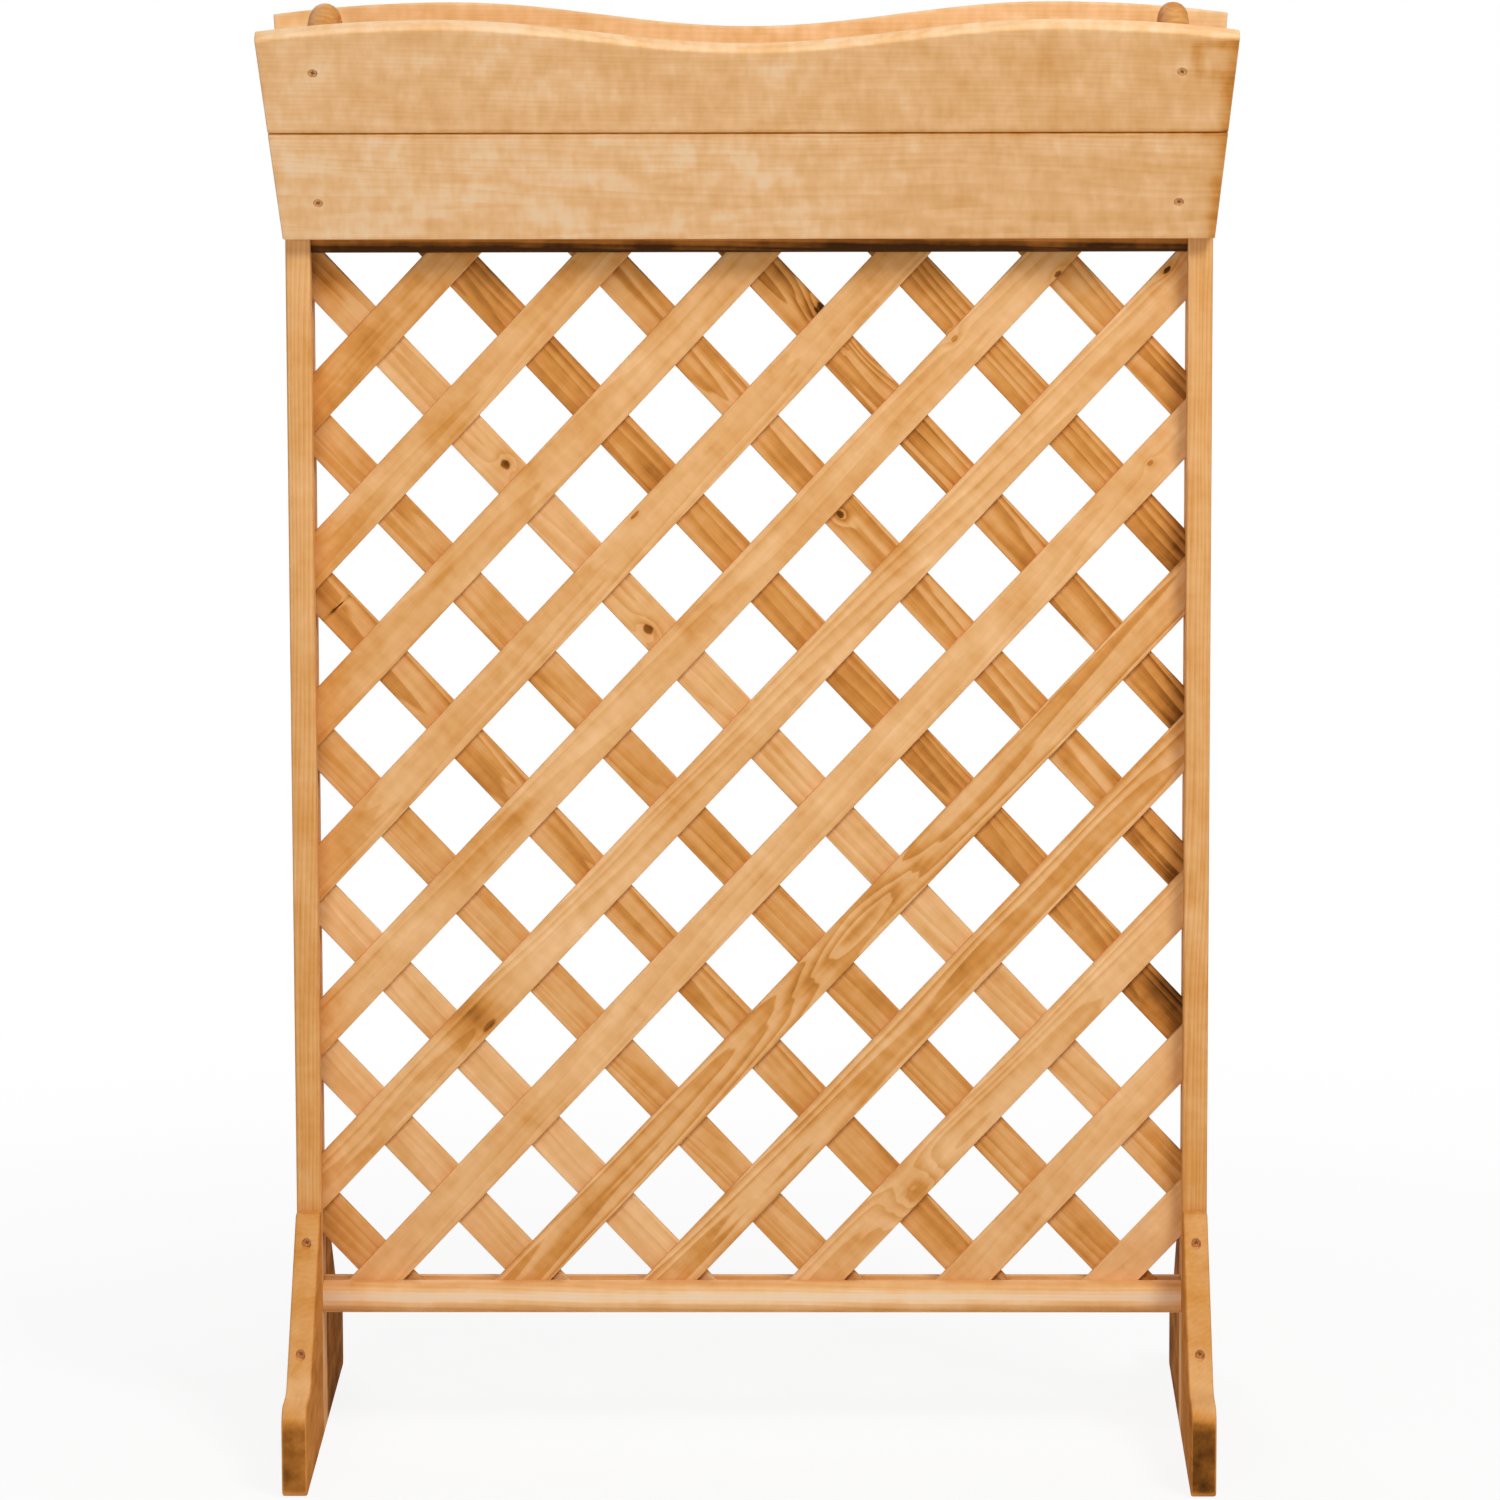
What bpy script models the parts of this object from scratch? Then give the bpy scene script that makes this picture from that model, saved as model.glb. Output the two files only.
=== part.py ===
"""Trellis planter: a V-shaped wooden trough carried by two posts, with a diagonal lattice below it.

Metres, +Z up. The origin is on the floor, in the middle of the planter. The front looks along -Y.
"""
import bpy
import bmesh
import math
from mathutils import Matrix, Vector

# Clearances
GAP = 0.0003
OVERRUN = 0.02
MERGE = 0.0001
FLAT_ANGLE = math.radians(0.1)

# Frame: posts, rails and the grooves that hold the lattice
POST_OUTER_X = 0.444
POST_THICK = 0.024
POST_DEPTH = 0.060
POST_RISE = 0.147
RAIL_HEIGHT = 0.0305
RAIL_SETBACK = 0.005
RAIL_ROUND = 0.006
BOTTOM_RAIL_Z = 0.1215
TOP_RAIL_TOP_Z = 1.193
RAIL_GROOVE_DEPTH = 0.012
POST_GROOVE_DEPTH = 0.008
TENON_SHOULDER = 0.002

# Lattice: two layers of flat slats on a diamond grid
SLAT_WIDTH = 0.039
SLAT_THICK = 0.008
GRID_PITCH_X = 0.144
GRID_PITCH_Z = 0.1533
GRID_DROP = 0.0055
GRID_TOP_NUMBER = 10

# Planter boards
LEAN_DEG = 24.0
BOARD_THICK = 0.018
LOWER_BOARD_HEIGHT = 0.114
BOARD_JOINT = 0.0015
UPPER_BOARD_HEIGHT = 0.1135
WAVE_DIP = 0.025
WAVE_CORNER_DROP = 0.012
WAVE_HUMP_SHARE = 0.626
BOARD_OVERHANG = 0.001
BOARD_FLARE = 0.0185
BOARD_SKIRT = 0.0154

# Planter ends and floor
END_THICK = 0.028
END_HUMP_RISE = 0.024
END_TOP_DROP = 0.0118
FLOOR_THICK = 0.018

# Feet: profile of a bracket, measured from the post's edge and from the floor
FOOT_HEIGHT = 0.226
FOOT_STEP = 0.0145
FOOT_KNEE_Y = 0.172
FOOT_TOE_LENGTH = 0.068
FOOT_TOE_Z = 0.086
FOOT_TOE_ROUND = 0.022
FOOT_SOLE_ROUND = 0.008
FOOT_KNEE_ROUND = 0.040

# Screws: countersunk wood screws
SCREW_HEAD_RADIUS = 0.0044
SCREW_HEAD_HEIGHT = 0.0034
SCREW_SHANK_RADIUS = 0.0021
SCREW_SINK = 0.0008
SCREW_STOP_ANGLE = math.radians(37)
BOARD_SCREW_BITE = 0.027
BOARD_SCREW_SHIFT = 0.004
BOARD_SCREW_LOWER_SHARE = 0.351
BOARD_SCREW_UPPER_SHARE = 0.568
END_SCREW_WALL = 0.007
END_SCREW_SHARES = (("lower", 0.286), ("upper", 0.803))
FOOT_SCREW_WALL = 0.0015
FOOT_SCREW_SINK = 0.006
FOOT_SCREW_SHARES = (("lower", 0.205), ("upper", 0.83))

# Counts of segments
WAVE_STEPS = 40
HUMP_STEPS = 16
ARC_STEPS = 6
EDGE_SEGMENTS = 4
SCREW_SIDES = 12

# Derived places
LEAN = math.radians(LEAN_DEG)
POST_INNER_X = POST_OUTER_X - POST_THICK
POST_MID_X = POST_OUTER_X - POST_THICK / 2
POST_FRONT_Y = POST_DEPTH / 2
POST_HEIGHT = TOP_RAIL_TOP_Z + POST_RISE
RAIL_DEPTH = POST_DEPTH - 2 * RAIL_SETBACK
BOTTOM_RAIL_TOP_Z = BOTTOM_RAIL_Z + RAIL_HEIGHT
TOP_RAIL_Z = TOP_RAIL_TOP_Z - RAIL_HEIGHT
GROOVE_WIDTH = 2 * SLAT_THICK + 3 * GAP
BOARD_BOTTOM_HALF = POST_OUTER_X + BOARD_OVERHANG
BOARD_TOP_HALF = BOARD_BOTTOM_HALF + BOARD_FLARE
WAVE_HUMP_X = WAVE_HUMP_SHARE * BOARD_TOP_HALF
BOARD_BOTTOM_Z = TOP_RAIL_TOP_Z - BOARD_SKIRT
BOARD_INNER_Y = POST_FRONT_Y + GAP
BOARD_OUTER_Y = BOARD_INNER_Y + BOARD_THICK * math.cos(LEAN)
BOARD_INNER_Z = BOARD_BOTTOM_Z + BOARD_THICK * math.sin(LEAN)
UPPER_BOARD_BASE = LOWER_BOARD_HEIGHT + BOARD_JOINT
BOARD_SLOPE_HEIGHT = UPPER_BOARD_BASE + UPPER_BOARD_HEIGHT
BOX_FLOOR_Z = TOP_RAIL_TOP_Z + GAP
END_SIDE_Z = BOARD_BOTTOM_Z + (BOARD_SLOPE_HEIGHT - END_TOP_DROP) * math.cos(LEAN)
END_OUTER_X = POST_INNER_X - GAP
END_INNER_X = END_OUTER_X - END_THICK
END_MID_X = END_OUTER_X - END_THICK / 2
FIELD_HALF_X = POST_INNER_X + POST_GROOVE_DEPTH - GAP
FIELD_LOW_Z = BOTTOM_RAIL_TOP_Z - RAIL_GROOVE_DEPTH + GAP
FIELD_HIGH_Z = TOP_RAIL_Z + RAIL_GROOVE_DEPTH - GAP
GRID_TOP_Z = TOP_RAIL_Z - GRID_DROP
STRIP_LENGTH = 4 * math.hypot(FIELD_HALF_X, FIELD_HIGH_Z - FIELD_LOW_Z)
SLAT_ANGLE = math.atan2(GRID_PITCH_Z, GRID_PITCH_X)
FOOT_REACH = FOOT_KNEE_Y + FOOT_TOE_LENGTH
FOOT_SLOPE = math.atan2(FOOT_HEIGHT - FOOT_TOE_Z, FOOT_KNEE_Y - FOOT_STEP)
BOARD_SCREW_LENGTH = BOARD_THICK + BOARD_SCREW_BITE
BOARD_SCREW_LOW = BOARD_SCREW_LOWER_SHARE * LOWER_BOARD_HEIGHT
BOARD_SCREW_HIGH = UPPER_BOARD_BASE + BOARD_SCREW_UPPER_SHARE * UPPER_BOARD_HEIGHT
END_SCREW_LENGTH = END_THICK + POST_THICK - END_SCREW_WALL
FOOT_SCREW_BITE = (POST_DEPTH - GROOVE_WIDTH) / 2 - FOOT_SCREW_WALL

# Stands an outline drawn in the plane of Y and Z upright
UPRIGHT = Matrix.Rotation(math.pi / 2, 4, "Z") @ Matrix.Rotation(math.pi / 2, 4, "X")

# Stain colours as the photograph shows them: colour, roughness
FINISHES = {
    "board_stain": ((0.78, 0.50, 0.25, 1.0), 0.55),
    "post_stain": ((0.68, 0.37, 0.13, 1.0), 0.55),
    "rail_stain": ((0.72, 0.43, 0.18, 1.0), 0.50),
    "slat_front_stain": ((0.70, 0.40, 0.15, 1.0), 0.55),
    "slat_back_stain": ((0.60, 0.31, 0.09, 1.0), 0.60),
    "foot_stain": ((0.62, 0.33, 0.11, 1.0), 0.55),
    "screw_steel": ((0.55, 0.45, 0.30, 1.0), 0.40),
}
METALLIC_FINISHES = ("screw_steel",)

# The two ends, left and right, and the two long walls, front and back
SIDES = (("left", -1), ("right", 1))
WALLS = (("front", -1), ("back", 1))


def clear_scene():
    """Remove what the scene starts with."""
    for obj in list(bpy.data.objects):
        bpy.data.objects.remove(obj, do_unlink=True)


def new_collection(name):
    """Return a new collection linked to the scene."""
    collection = bpy.data.collections.new(name)
    bpy.context.scene.collection.children.link(collection)
    return collection


def move_to(obj, collection):
    """Put an object in one collection only."""
    for owner in list(obj.users_collection):
        owner.objects.unlink(obj)
    collection.objects.link(obj)


def paint(obj, finish):
    """Give an object its own Principled material."""
    colour, roughness = FINISHES[finish]
    material = bpy.data.materials.new(obj.name + "_" + finish)
    material.use_nodes = True
    shader = material.node_tree.nodes["Principled BSDF"]
    shader.inputs["Base Color"].default_value = colour
    shader.inputs["Roughness"].default_value = roughness
    shader.inputs["Metallic"].default_value = 1.0 if finish in METALLIC_FINISHES else 0.0
    obj.data.materials.clear()
    obj.data.materials.append(material)


def box(name, size, centre, finish=None):
    """A rectangular block with its scale applied."""
    bpy.ops.mesh.primitive_cube_add(size=1)
    obj = bpy.context.object
    obj.name = name
    obj.data.transform(Matrix.Diagonal((*size, 1)))
    obj.location = centre
    register(obj, finish)
    return obj


def register(obj, finish):
    """File a piece with the parts, or a cutter with the guides."""
    if finish:
        move_to(obj, PARTS)
        paint(obj, finish)
        return
    move_to(obj, GUIDES)
    obj.hide_render = True
    obj.display_type = "WIRE"


def outline_solid(name, points, thickness, finish=None):
    """A flat outline in local XY, given its thickness along local Z, as a closed mesh."""
    curve = bpy.data.curves.new(name, "CURVE")
    curve.dimensions = "2D"
    curve.fill_mode = "BOTH"
    curve.extrude = thickness / 2
    spline = curve.splines.new("POLY")
    spline.points.add(len(points) - 1)
    for point, (x, y) in zip(spline.points, points):
        point.co = (x, y, 0, 1)
    spline.use_cyclic_u = True
    drawn = bpy.data.objects.new(name + "_outline", curve)
    GUIDES.objects.link(drawn)
    bpy.context.view_layer.update()
    evaluated = drawn.evaluated_get(bpy.context.evaluated_depsgraph_get())
    mesh = bpy.data.meshes.new_from_object(evaluated)
    bpy.data.objects.remove(drawn, do_unlink=True)
    bm = bmesh.new()
    bm.from_mesh(mesh)
    bmesh.ops.remove_doubles(bm, verts=bm.verts, dist=MERGE)
    bmesh.ops.dissolve_limit(bm, angle_limit=FLAT_ANGLE, verts=[], edges=bm.edges)
    bmesh.ops.recalc_face_normals(bm, faces=bm.faces)
    bm.to_mesh(mesh)
    bm.free()
    obj = bpy.data.objects.new(name, mesh)
    bpy.context.scene.collection.objects.link(obj)
    register(obj, finish)
    return obj


def cut(obj, cutter, operation="DIFFERENCE", solver="EXACT"):
    """Cut a piece with a guide solid."""
    modifier = obj.modifiers.new(cutter.name, "BOOLEAN")
    modifier.operation = operation
    modifier.solver = solver
    modifier.object = cutter


def round_edges(obj, width, chosen, segments=EDGE_SEGMENTS):
    """Round the edges for which chosen(first end, second end) is true."""
    bm = bmesh.new()
    bm.from_mesh(obj.data)
    weight = bm.edges.layers.float.new("bevel_weight_edge")
    for edge in bm.edges:
        a, b = edge.verts
        edge[weight] = 1.0 if chosen(a.co, b.co) else 0.0
    bm.to_mesh(obj.data)
    bm.free()
    modifier = obj.modifiers.new("Rounded edges", "BEVEL")
    modifier.limit_method = "WEIGHT"
    modifier.width = width
    modifier.segments = segments
    modifier.use_clamp_overlap = True


def runs_along_x(a, b):
    """True for an edge that is parallel to X."""
    return abs(a.y - b.y) < GAP and abs(a.z - b.z) < GAP


def arc(centre, radius, start_deg, end_deg, steps=ARC_STEPS):
    """Points along an arc, from one angle to the other."""
    points = []
    for i in range(steps + 1):
        angle = math.radians(start_deg + (end_deg - start_deg) * i / steps)
        points.append((centre[0] + radius * math.cos(angle), centre[1] + radius * math.sin(angle)))
    return points


def make_posts():
    """Two upright posts, grooved on their inner faces for the slats and for the rails' tenons."""
    posts = {}
    groove_size = (2 * (POST_INNER_X + POST_GROOVE_DEPTH), GROOVE_WIDTH, TOP_RAIL_TOP_Z - BOTTOM_RAIL_Z)
    groove = box("groove_of_posts", groove_size, (0, 0, (BOTTOM_RAIL_Z + TOP_RAIL_TOP_Z) / 2))
    for side, sign in SIDES:
        size = (POST_THICK, POST_DEPTH, POST_HEIGHT)
        post = box("post_" + side, size, (sign * POST_MID_X, 0, POST_HEIGHT / 2), "post_stain")
        cut(post, groove)
        posts[side] = post
    return posts


def make_rail(name, base_z, groove_z, tenon_z):
    """A rail with rounded long edges, a groove for the lattice and a stub tenon at each end."""
    length = 2 * (POST_INNER_X - GAP)
    rail = box(name, (length, RAIL_DEPTH, RAIL_HEIGHT), (0, 0, base_z + RAIL_HEIGHT / 2), "rail_stain")
    round_edges(rail, RAIL_ROUND, runs_along_x)
    groove_size = (length + 2 * OVERRUN, GROOVE_WIDTH, 2 * RAIL_GROOVE_DEPTH)
    cut(rail, box("groove_of_" + name, groove_size, (0, 0, groove_z)))
    tenon_height = RAIL_HEIGHT - RAIL_GROOVE_DEPTH - 2 * TENON_SHOULDER
    tenon_size = (2 * FIELD_HALF_X, GROOVE_WIDTH - 2 * GAP, tenon_height)
    cut(rail, box("tenons_of_" + name, tenon_size, (0, 0, tenon_z)), "UNION")


def make_rails():
    """The two rails, each with its groove towards the lattice."""
    solid_half = (RAIL_HEIGHT - RAIL_GROOVE_DEPTH) / 2
    make_rail("rail_bottom", BOTTOM_RAIL_Z, BOTTOM_RAIL_TOP_Z, BOTTOM_RAIL_Z + solid_half)
    make_rail("rail_top", TOP_RAIL_Z, TOP_RAIL_Z, TOP_RAIL_TOP_Z - solid_half)


def grid_lines():
    """Lines of the grid that cross the opening between posts and rails, counted up from 0 at GRID_TOP_Z."""
    reach = POST_INNER_X / GRID_PITCH_X
    low = (BOTTOM_RAIL_TOP_Z - GRID_TOP_Z) / GRID_PITCH_Z
    high = (TOP_RAIL_Z - GRID_TOP_Z) / GRID_PITCH_Z
    return range(math.ceil(low - reach), math.floor(high + reach) + 1)


def make_lattice():
    """Two layers of slats on one diamond grid, cut off where the frame's grooves end."""
    field_size = (2 * FIELD_HALF_X, POST_DEPTH, FIELD_HIGH_Z - FIELD_LOW_Z)
    field = box("lattice_field", field_size, (0, 0, (FIELD_LOW_Z + FIELD_HIGH_Z) / 2))
    layers = (("front", 1, -1, "slat_front_stain"), ("back", -1, 1, "slat_back_stain"))
    for layer, slope, side_y, finish in layers:
        for line in grid_lines():
            name = "slat_%s_%02d" % (layer, GRID_TOP_NUMBER + line)
            y = side_y * (SLAT_THICK + GAP) / 2
            centre = (0, y, GRID_TOP_Z + line * GRID_PITCH_Z)
            slat = box(name, (STRIP_LENGTH, SLAT_THICK, SLAT_WIDTH), centre, finish)
            slat.rotation_euler.y = -slope * SLAT_ANGLE
            cut(slat, field, "INTERSECT")


def wave(x):
    """Height of the scalloped top edge at x, from the highest point of its two humps."""
    reach = abs(x)
    if reach < WAVE_HUMP_X:
        return -WAVE_DIP * (1 + math.cos(math.pi * reach / WAVE_HUMP_X)) / 2
    share = (reach - WAVE_HUMP_X) / (BOARD_TOP_HALF - WAVE_HUMP_X)
    return -WAVE_CORNER_DROP * share ** 2


def board_half(height):
    """Half the width of a planter board at a height along its slope."""
    share = height / (BOARD_SLOPE_HEIGHT - WAVE_CORNER_DROP)
    return BOARD_BOTTOM_HALF + (BOARD_TOP_HALF - BOARD_BOTTOM_HALF) * share


def lower_board_outline():
    """Straight board with slanted ends."""
    low = board_half(0)
    high = board_half(LOWER_BOARD_HEIGHT)
    return [(-low, 0), (low, 0), (high, LOWER_BOARD_HEIGHT), (-high, LOWER_BOARD_HEIGHT)]


def upper_board_outline():
    """Board with slanted ends and a scalloped top."""
    half = board_half(UPPER_BOARD_BASE)
    points = [(-half, UPPER_BOARD_BASE), (half, UPPER_BOARD_BASE)]
    for i in range(WAVE_STEPS + 1):
        x = BOARD_TOP_HALF * (1 - 2 * i / WAVE_STEPS)
        points.append((x, BOARD_SLOPE_HEIGHT + wave(x)))
    return points


def is_wave_edge(a, b):
    """True for the long edges of the scalloped top."""
    lowest = BOARD_SLOPE_HEIGHT - WAVE_DIP - GAP
    return a.y > lowest and b.y > lowest and abs(a.z - b.z) < GAP


def board_frame(sign):
    """Matrix that leans a flat outline out to the front (-1) or the back (1)."""
    place = Vector((0, -BOARD_OUTER_Y, BOARD_BOTTOM_Z))
    inward = Vector((0, math.cos(LEAN), math.sin(LEAN))) * (BOARD_THICK / 2)
    front = Matrix.Translation(place + inward) @ Matrix.Rotation(math.pi / 2 + LEAN, 4, "X")
    if sign < 0:
        return front
    return Matrix.Rotation(math.pi, 4, "Z") @ front


def make_boards():
    """Front and back walls of the trough, each of two boards."""
    boards = {}
    for wall, sign in WALLS:
        lower = outline_solid(wall + "_board_lower", lower_board_outline(), BOARD_THICK, "board_stain")
        upper = outline_solid(wall + "_board_upper", upper_board_outline(), BOARD_THICK, "board_stain")
        round_edges(upper, BOARD_THICK / 2 - GAP, is_wave_edge)
        for level, board in (("lower", lower), ("upper", upper)):
            board.matrix_world = board_frame(sign)
            boards[wall, level] = board
    return boards


def end_half(z):
    """Half the depth of an end board at a height, clear of the leaning boards."""
    return BOARD_INNER_Y + (z - BOARD_INNER_Z) * math.tan(LEAN) - GAP / math.cos(LEAN)


def end_top(share):
    """Top of an end board: share runs from -1 at the front board to 1 at the back board."""
    return END_SIDE_Z + END_HUMP_RISE * (1 + math.cos(math.pi * share)) / 2


def end_outline():
    """Outline of an end board in the plane of Y and Z."""
    base = BOX_FLOOR_Z
    points = [(-end_half(base), base), (end_half(base), base)]
    for i in range(HUMP_STEPS + 1):
        share = 1 - 2 * i / HUMP_STEPS
        points.append((share * end_half(END_SIDE_Z), end_top(share)))
    return points


def is_hump_edge(a, b):
    """True for the long edges of an end board's curved top."""
    return min(a.y, b.y) > END_SIDE_Z - GAP and abs(a.z - b.z) < GAP


def make_ends():
    """End walls of the trough, each with a rounded hump on its top edge."""
    ends = {}
    for side, sign in SIDES:
        end = outline_solid("end_board_" + side, end_outline(), END_THICK, "board_stain")
        round_edges(end, END_THICK / 2 - GAP, is_hump_edge)
        end.matrix_world = Matrix.Translation((sign * END_MID_X, 0, 0)) @ UPRIGHT
        ends[side] = end
    return ends


def make_floor():
    """Bottom of the trough, bevelled to the leaning boards, resting on the top rail."""
    base = BOX_FLOOR_Z
    top = base + FLOOR_THICK
    outline = [(-end_half(base), base), (end_half(base), base), (end_half(top), top), (-end_half(top), top)]
    floor = outline_solid("planter_floor", outline, 2 * (END_INNER_X - GAP), "board_stain")
    floor.matrix_world = UPRIGHT


def foot_outline():
    """Profile of a foot bracket: distance from the post against height."""
    points = [(GAP, 0), (FOOT_REACH - FOOT_SOLE_ROUND, 0)]
    points += arc((FOOT_REACH - FOOT_SOLE_ROUND, FOOT_SOLE_ROUND), FOOT_SOLE_ROUND, -90, 0)[1:]
    points += arc((FOOT_REACH - FOOT_TOE_ROUND, FOOT_TOE_Z - FOOT_TOE_ROUND), FOOT_TOE_ROUND, 0, 90)
    knee = (FOOT_KNEE_Y + FOOT_KNEE_ROUND * math.tan(FOOT_SLOPE / 2), FOOT_TOE_Z + FOOT_KNEE_ROUND)
    points += arc(knee, FOOT_KNEE_ROUND, -90, -90 - math.degrees(FOOT_SLOPE))
    points.append((FOOT_STEP, FOOT_HEIGHT))
    points.append((GAP, FOOT_HEIGHT))
    return points


def slope_reach(z):
    """Distance from the post of a foot's sloping edge at a height."""
    return FOOT_STEP + (FOOT_HEIGHT - z) / math.tan(FOOT_SLOPE)


def make_feet():
    """Four foot brackets, screwed to the front and back edges of the posts."""
    feet = {}
    for side, sign in SIDES:
        for wall, way in WALLS:
            foot = outline_solid("foot_%s_%s" % (wall, side), foot_outline(), POST_THICK, "foot_stain")
            turn = Matrix.Rotation(way * math.pi / 2, 4, "Z") @ Matrix.Rotation(math.pi / 2, 4, "X")
            foot.matrix_world = Matrix.Translation((sign * POST_MID_X, way * POST_FRONT_Y, 0)) @ turn
            feet[wall, side] = foot
    return feet


def turned_screw(length, clearance):
    """A countersunk screw along local -Z, its head's face at the origin, turned from its profile."""
    head = SCREW_HEAD_RADIUS + clearance
    shank = SCREW_SHANK_RADIUS + clearance
    neck = -SCREW_HEAD_HEIGHT - clearance
    tip = -length - clearance
    profile = [(0, 0), (head, 0), (shank, neck), (shank, tip + 2 * SCREW_SHANK_RADIUS), (0, tip)]
    if clearance:
        profile = [(0, OVERRUN), (head, OVERRUN)] + profile[1:]
    mesh = bpy.data.meshes.new("screw_profile")
    mesh.from_pydata([(x, 0, z) for x, z in profile], [(i, i + 1) for i in range(len(profile) - 1)], [])
    drawn = bpy.data.objects.new("screw_profile", mesh)
    GUIDES.objects.link(drawn)
    turn = drawn.modifiers.new("Turned", "SCREW")
    turn.steps = SCREW_SIDES
    turn.render_steps = SCREW_SIDES
    turn.use_merge_vertices = True
    turn.merge_threshold = MERGE
    bpy.context.view_layer.update()
    solid = bpy.data.meshes.new_from_object(drawn.evaluated_get(bpy.context.evaluated_depsgraph_get()))
    bpy.data.objects.remove(drawn, do_unlink=True)
    return solid


def fasten(name, place, inward, length, pieces):
    """Put in one screw, stopped at its own angle, and cut its hole in the pieces that it joins."""
    turn = Vector((0, 0, -1)).rotation_difference(Vector(inward)).to_matrix().to_4x4()
    turn = turn @ Matrix.Rotation(SCREW_STOP_ANGLE * len(PARTS.objects), 4, "Z")
    head = Vector(place) + Vector(inward).normalized() * SCREW_SINK
    for clearance in (0, GAP):
        label = "hole_of_" + name if clearance else name
        obj = bpy.data.objects.new(label, turned_screw(length, clearance))
        bpy.context.scene.collection.objects.link(obj)
        register(obj, None if clearance else "screw_steel")
        obj.matrix_world = Matrix.Translation(head) @ turn
    for piece in pieces:
        cut(piece, obj, solver="MANIFOLD")


def fasten_boards(boards, ends):
    """Screws through the front and back boards into the edges of the end boards."""
    heights = (("lower", BOARD_SCREW_LOW), ("upper", BOARD_SCREW_HIGH))
    for wall, way in WALLS:
        for level, height in heights:
            y = way * (BOARD_OUTER_Y + height * math.sin(LEAN))
            z = BOARD_BOTTOM_Z + height * math.cos(LEAN)
            inward = (0, -way * math.cos(LEAN), math.sin(LEAN))
            for side, sign in SIDES:
                place = (sign * (END_MID_X + BOARD_SCREW_SHIFT), y, z)
                name = "screw_board_%s_%s_%s" % (wall, side, level)
                fasten(name, place, inward, BOARD_SCREW_LENGTH, (boards[wall, level], ends[side]))


def fasten_ends(ends, posts):
    """Screws from inside the trough through its end boards into the posts."""
    for side, sign in SIDES:
        for level, share in END_SCREW_SHARES:
            place = (sign * END_INNER_X, 0, BOX_FLOOR_Z + share * POST_RISE)
            name = "screw_end_%s_%s" % (side, level)
            fasten(name, place, (sign, 0, 0), END_SCREW_LENGTH, (ends[side], posts[side]))


def fasten_feet(feet, posts):
    """Screws through the sloping edges of the feet into the posts."""
    for side, sign in SIDES:
        for wall, way in WALLS:
            for level, share in FOOT_SCREW_SHARES:
                z = FOOT_TOE_Z + share * (FOOT_HEIGHT - FOOT_TOE_Z)
                reach = slope_reach(z) - FOOT_SCREW_SINK
                place = (sign * POST_MID_X, way * (POST_FRONT_Y + reach), z)
                name = "screw_foot_%s_%s_%s" % (wall, side, level)
                fasten(name, place, (0, -way, 0), reach + FOOT_SCREW_BITE, (feet[wall, side], posts[side]))


def build():
    """Make the whole planter."""
    posts = make_posts()
    make_rails()
    make_lattice()
    boards = make_boards()
    ends = make_ends()
    make_floor()
    feet = make_feet()
    fasten_boards(boards, ends)
    fasten_ends(ends, posts)
    fasten_feet(feet, posts)


clear_scene()
PARTS = new_collection("trellis_planter")
GUIDES = new_collection("cutters")
build()
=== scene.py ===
# %% [markdown]
# # A trellis planter in stained pine
# The real object is plain joinery: two posts on bracket feet, two rails, a diamond lattice held in
# grooves between them, and a V-shaped trough with a scalloped rim on top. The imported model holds
# every board at its true size and place, as plain faceted solids.
# This lesson gives each board eased edges, its own cut of timber and a honey-coloured stain.
# The frame is read first, so that the new boards take their sizes from it.

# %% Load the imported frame
import math
import bpy
import bmesh
import numpy as np
from mathutils import Matrix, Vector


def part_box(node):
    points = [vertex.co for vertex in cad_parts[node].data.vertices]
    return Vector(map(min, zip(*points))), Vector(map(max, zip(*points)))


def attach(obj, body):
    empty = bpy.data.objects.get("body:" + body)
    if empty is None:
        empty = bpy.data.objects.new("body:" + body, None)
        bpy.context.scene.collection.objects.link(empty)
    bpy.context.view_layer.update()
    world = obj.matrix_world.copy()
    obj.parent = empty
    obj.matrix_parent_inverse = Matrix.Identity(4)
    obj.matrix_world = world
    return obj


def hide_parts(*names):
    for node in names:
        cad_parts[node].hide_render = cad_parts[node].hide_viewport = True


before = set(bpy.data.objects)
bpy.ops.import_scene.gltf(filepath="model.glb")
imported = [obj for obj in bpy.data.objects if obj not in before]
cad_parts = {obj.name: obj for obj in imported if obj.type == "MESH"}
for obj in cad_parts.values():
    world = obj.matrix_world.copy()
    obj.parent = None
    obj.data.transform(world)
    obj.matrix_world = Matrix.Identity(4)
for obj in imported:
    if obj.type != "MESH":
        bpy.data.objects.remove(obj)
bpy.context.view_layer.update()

# %% [markdown]
# ## Outlines with eased corners
# A planed board never has knife edges: its arrises are rounded by sandpaper, the rails' edges by a
# router. A cube with a Bevel modifier would do for a straight board, but not for slanted ends,
# grooves or a scalloped edge. So each piece starts as an outline whose corners are true arcs.

# %% An outline with rounded corners
ARC_PARTS = 5


def unit(vectors):
    """Vectors divided by their own lengths."""
    return vectors / np.linalg.norm(vectors, axis=-1, keepdims=True)


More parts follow.
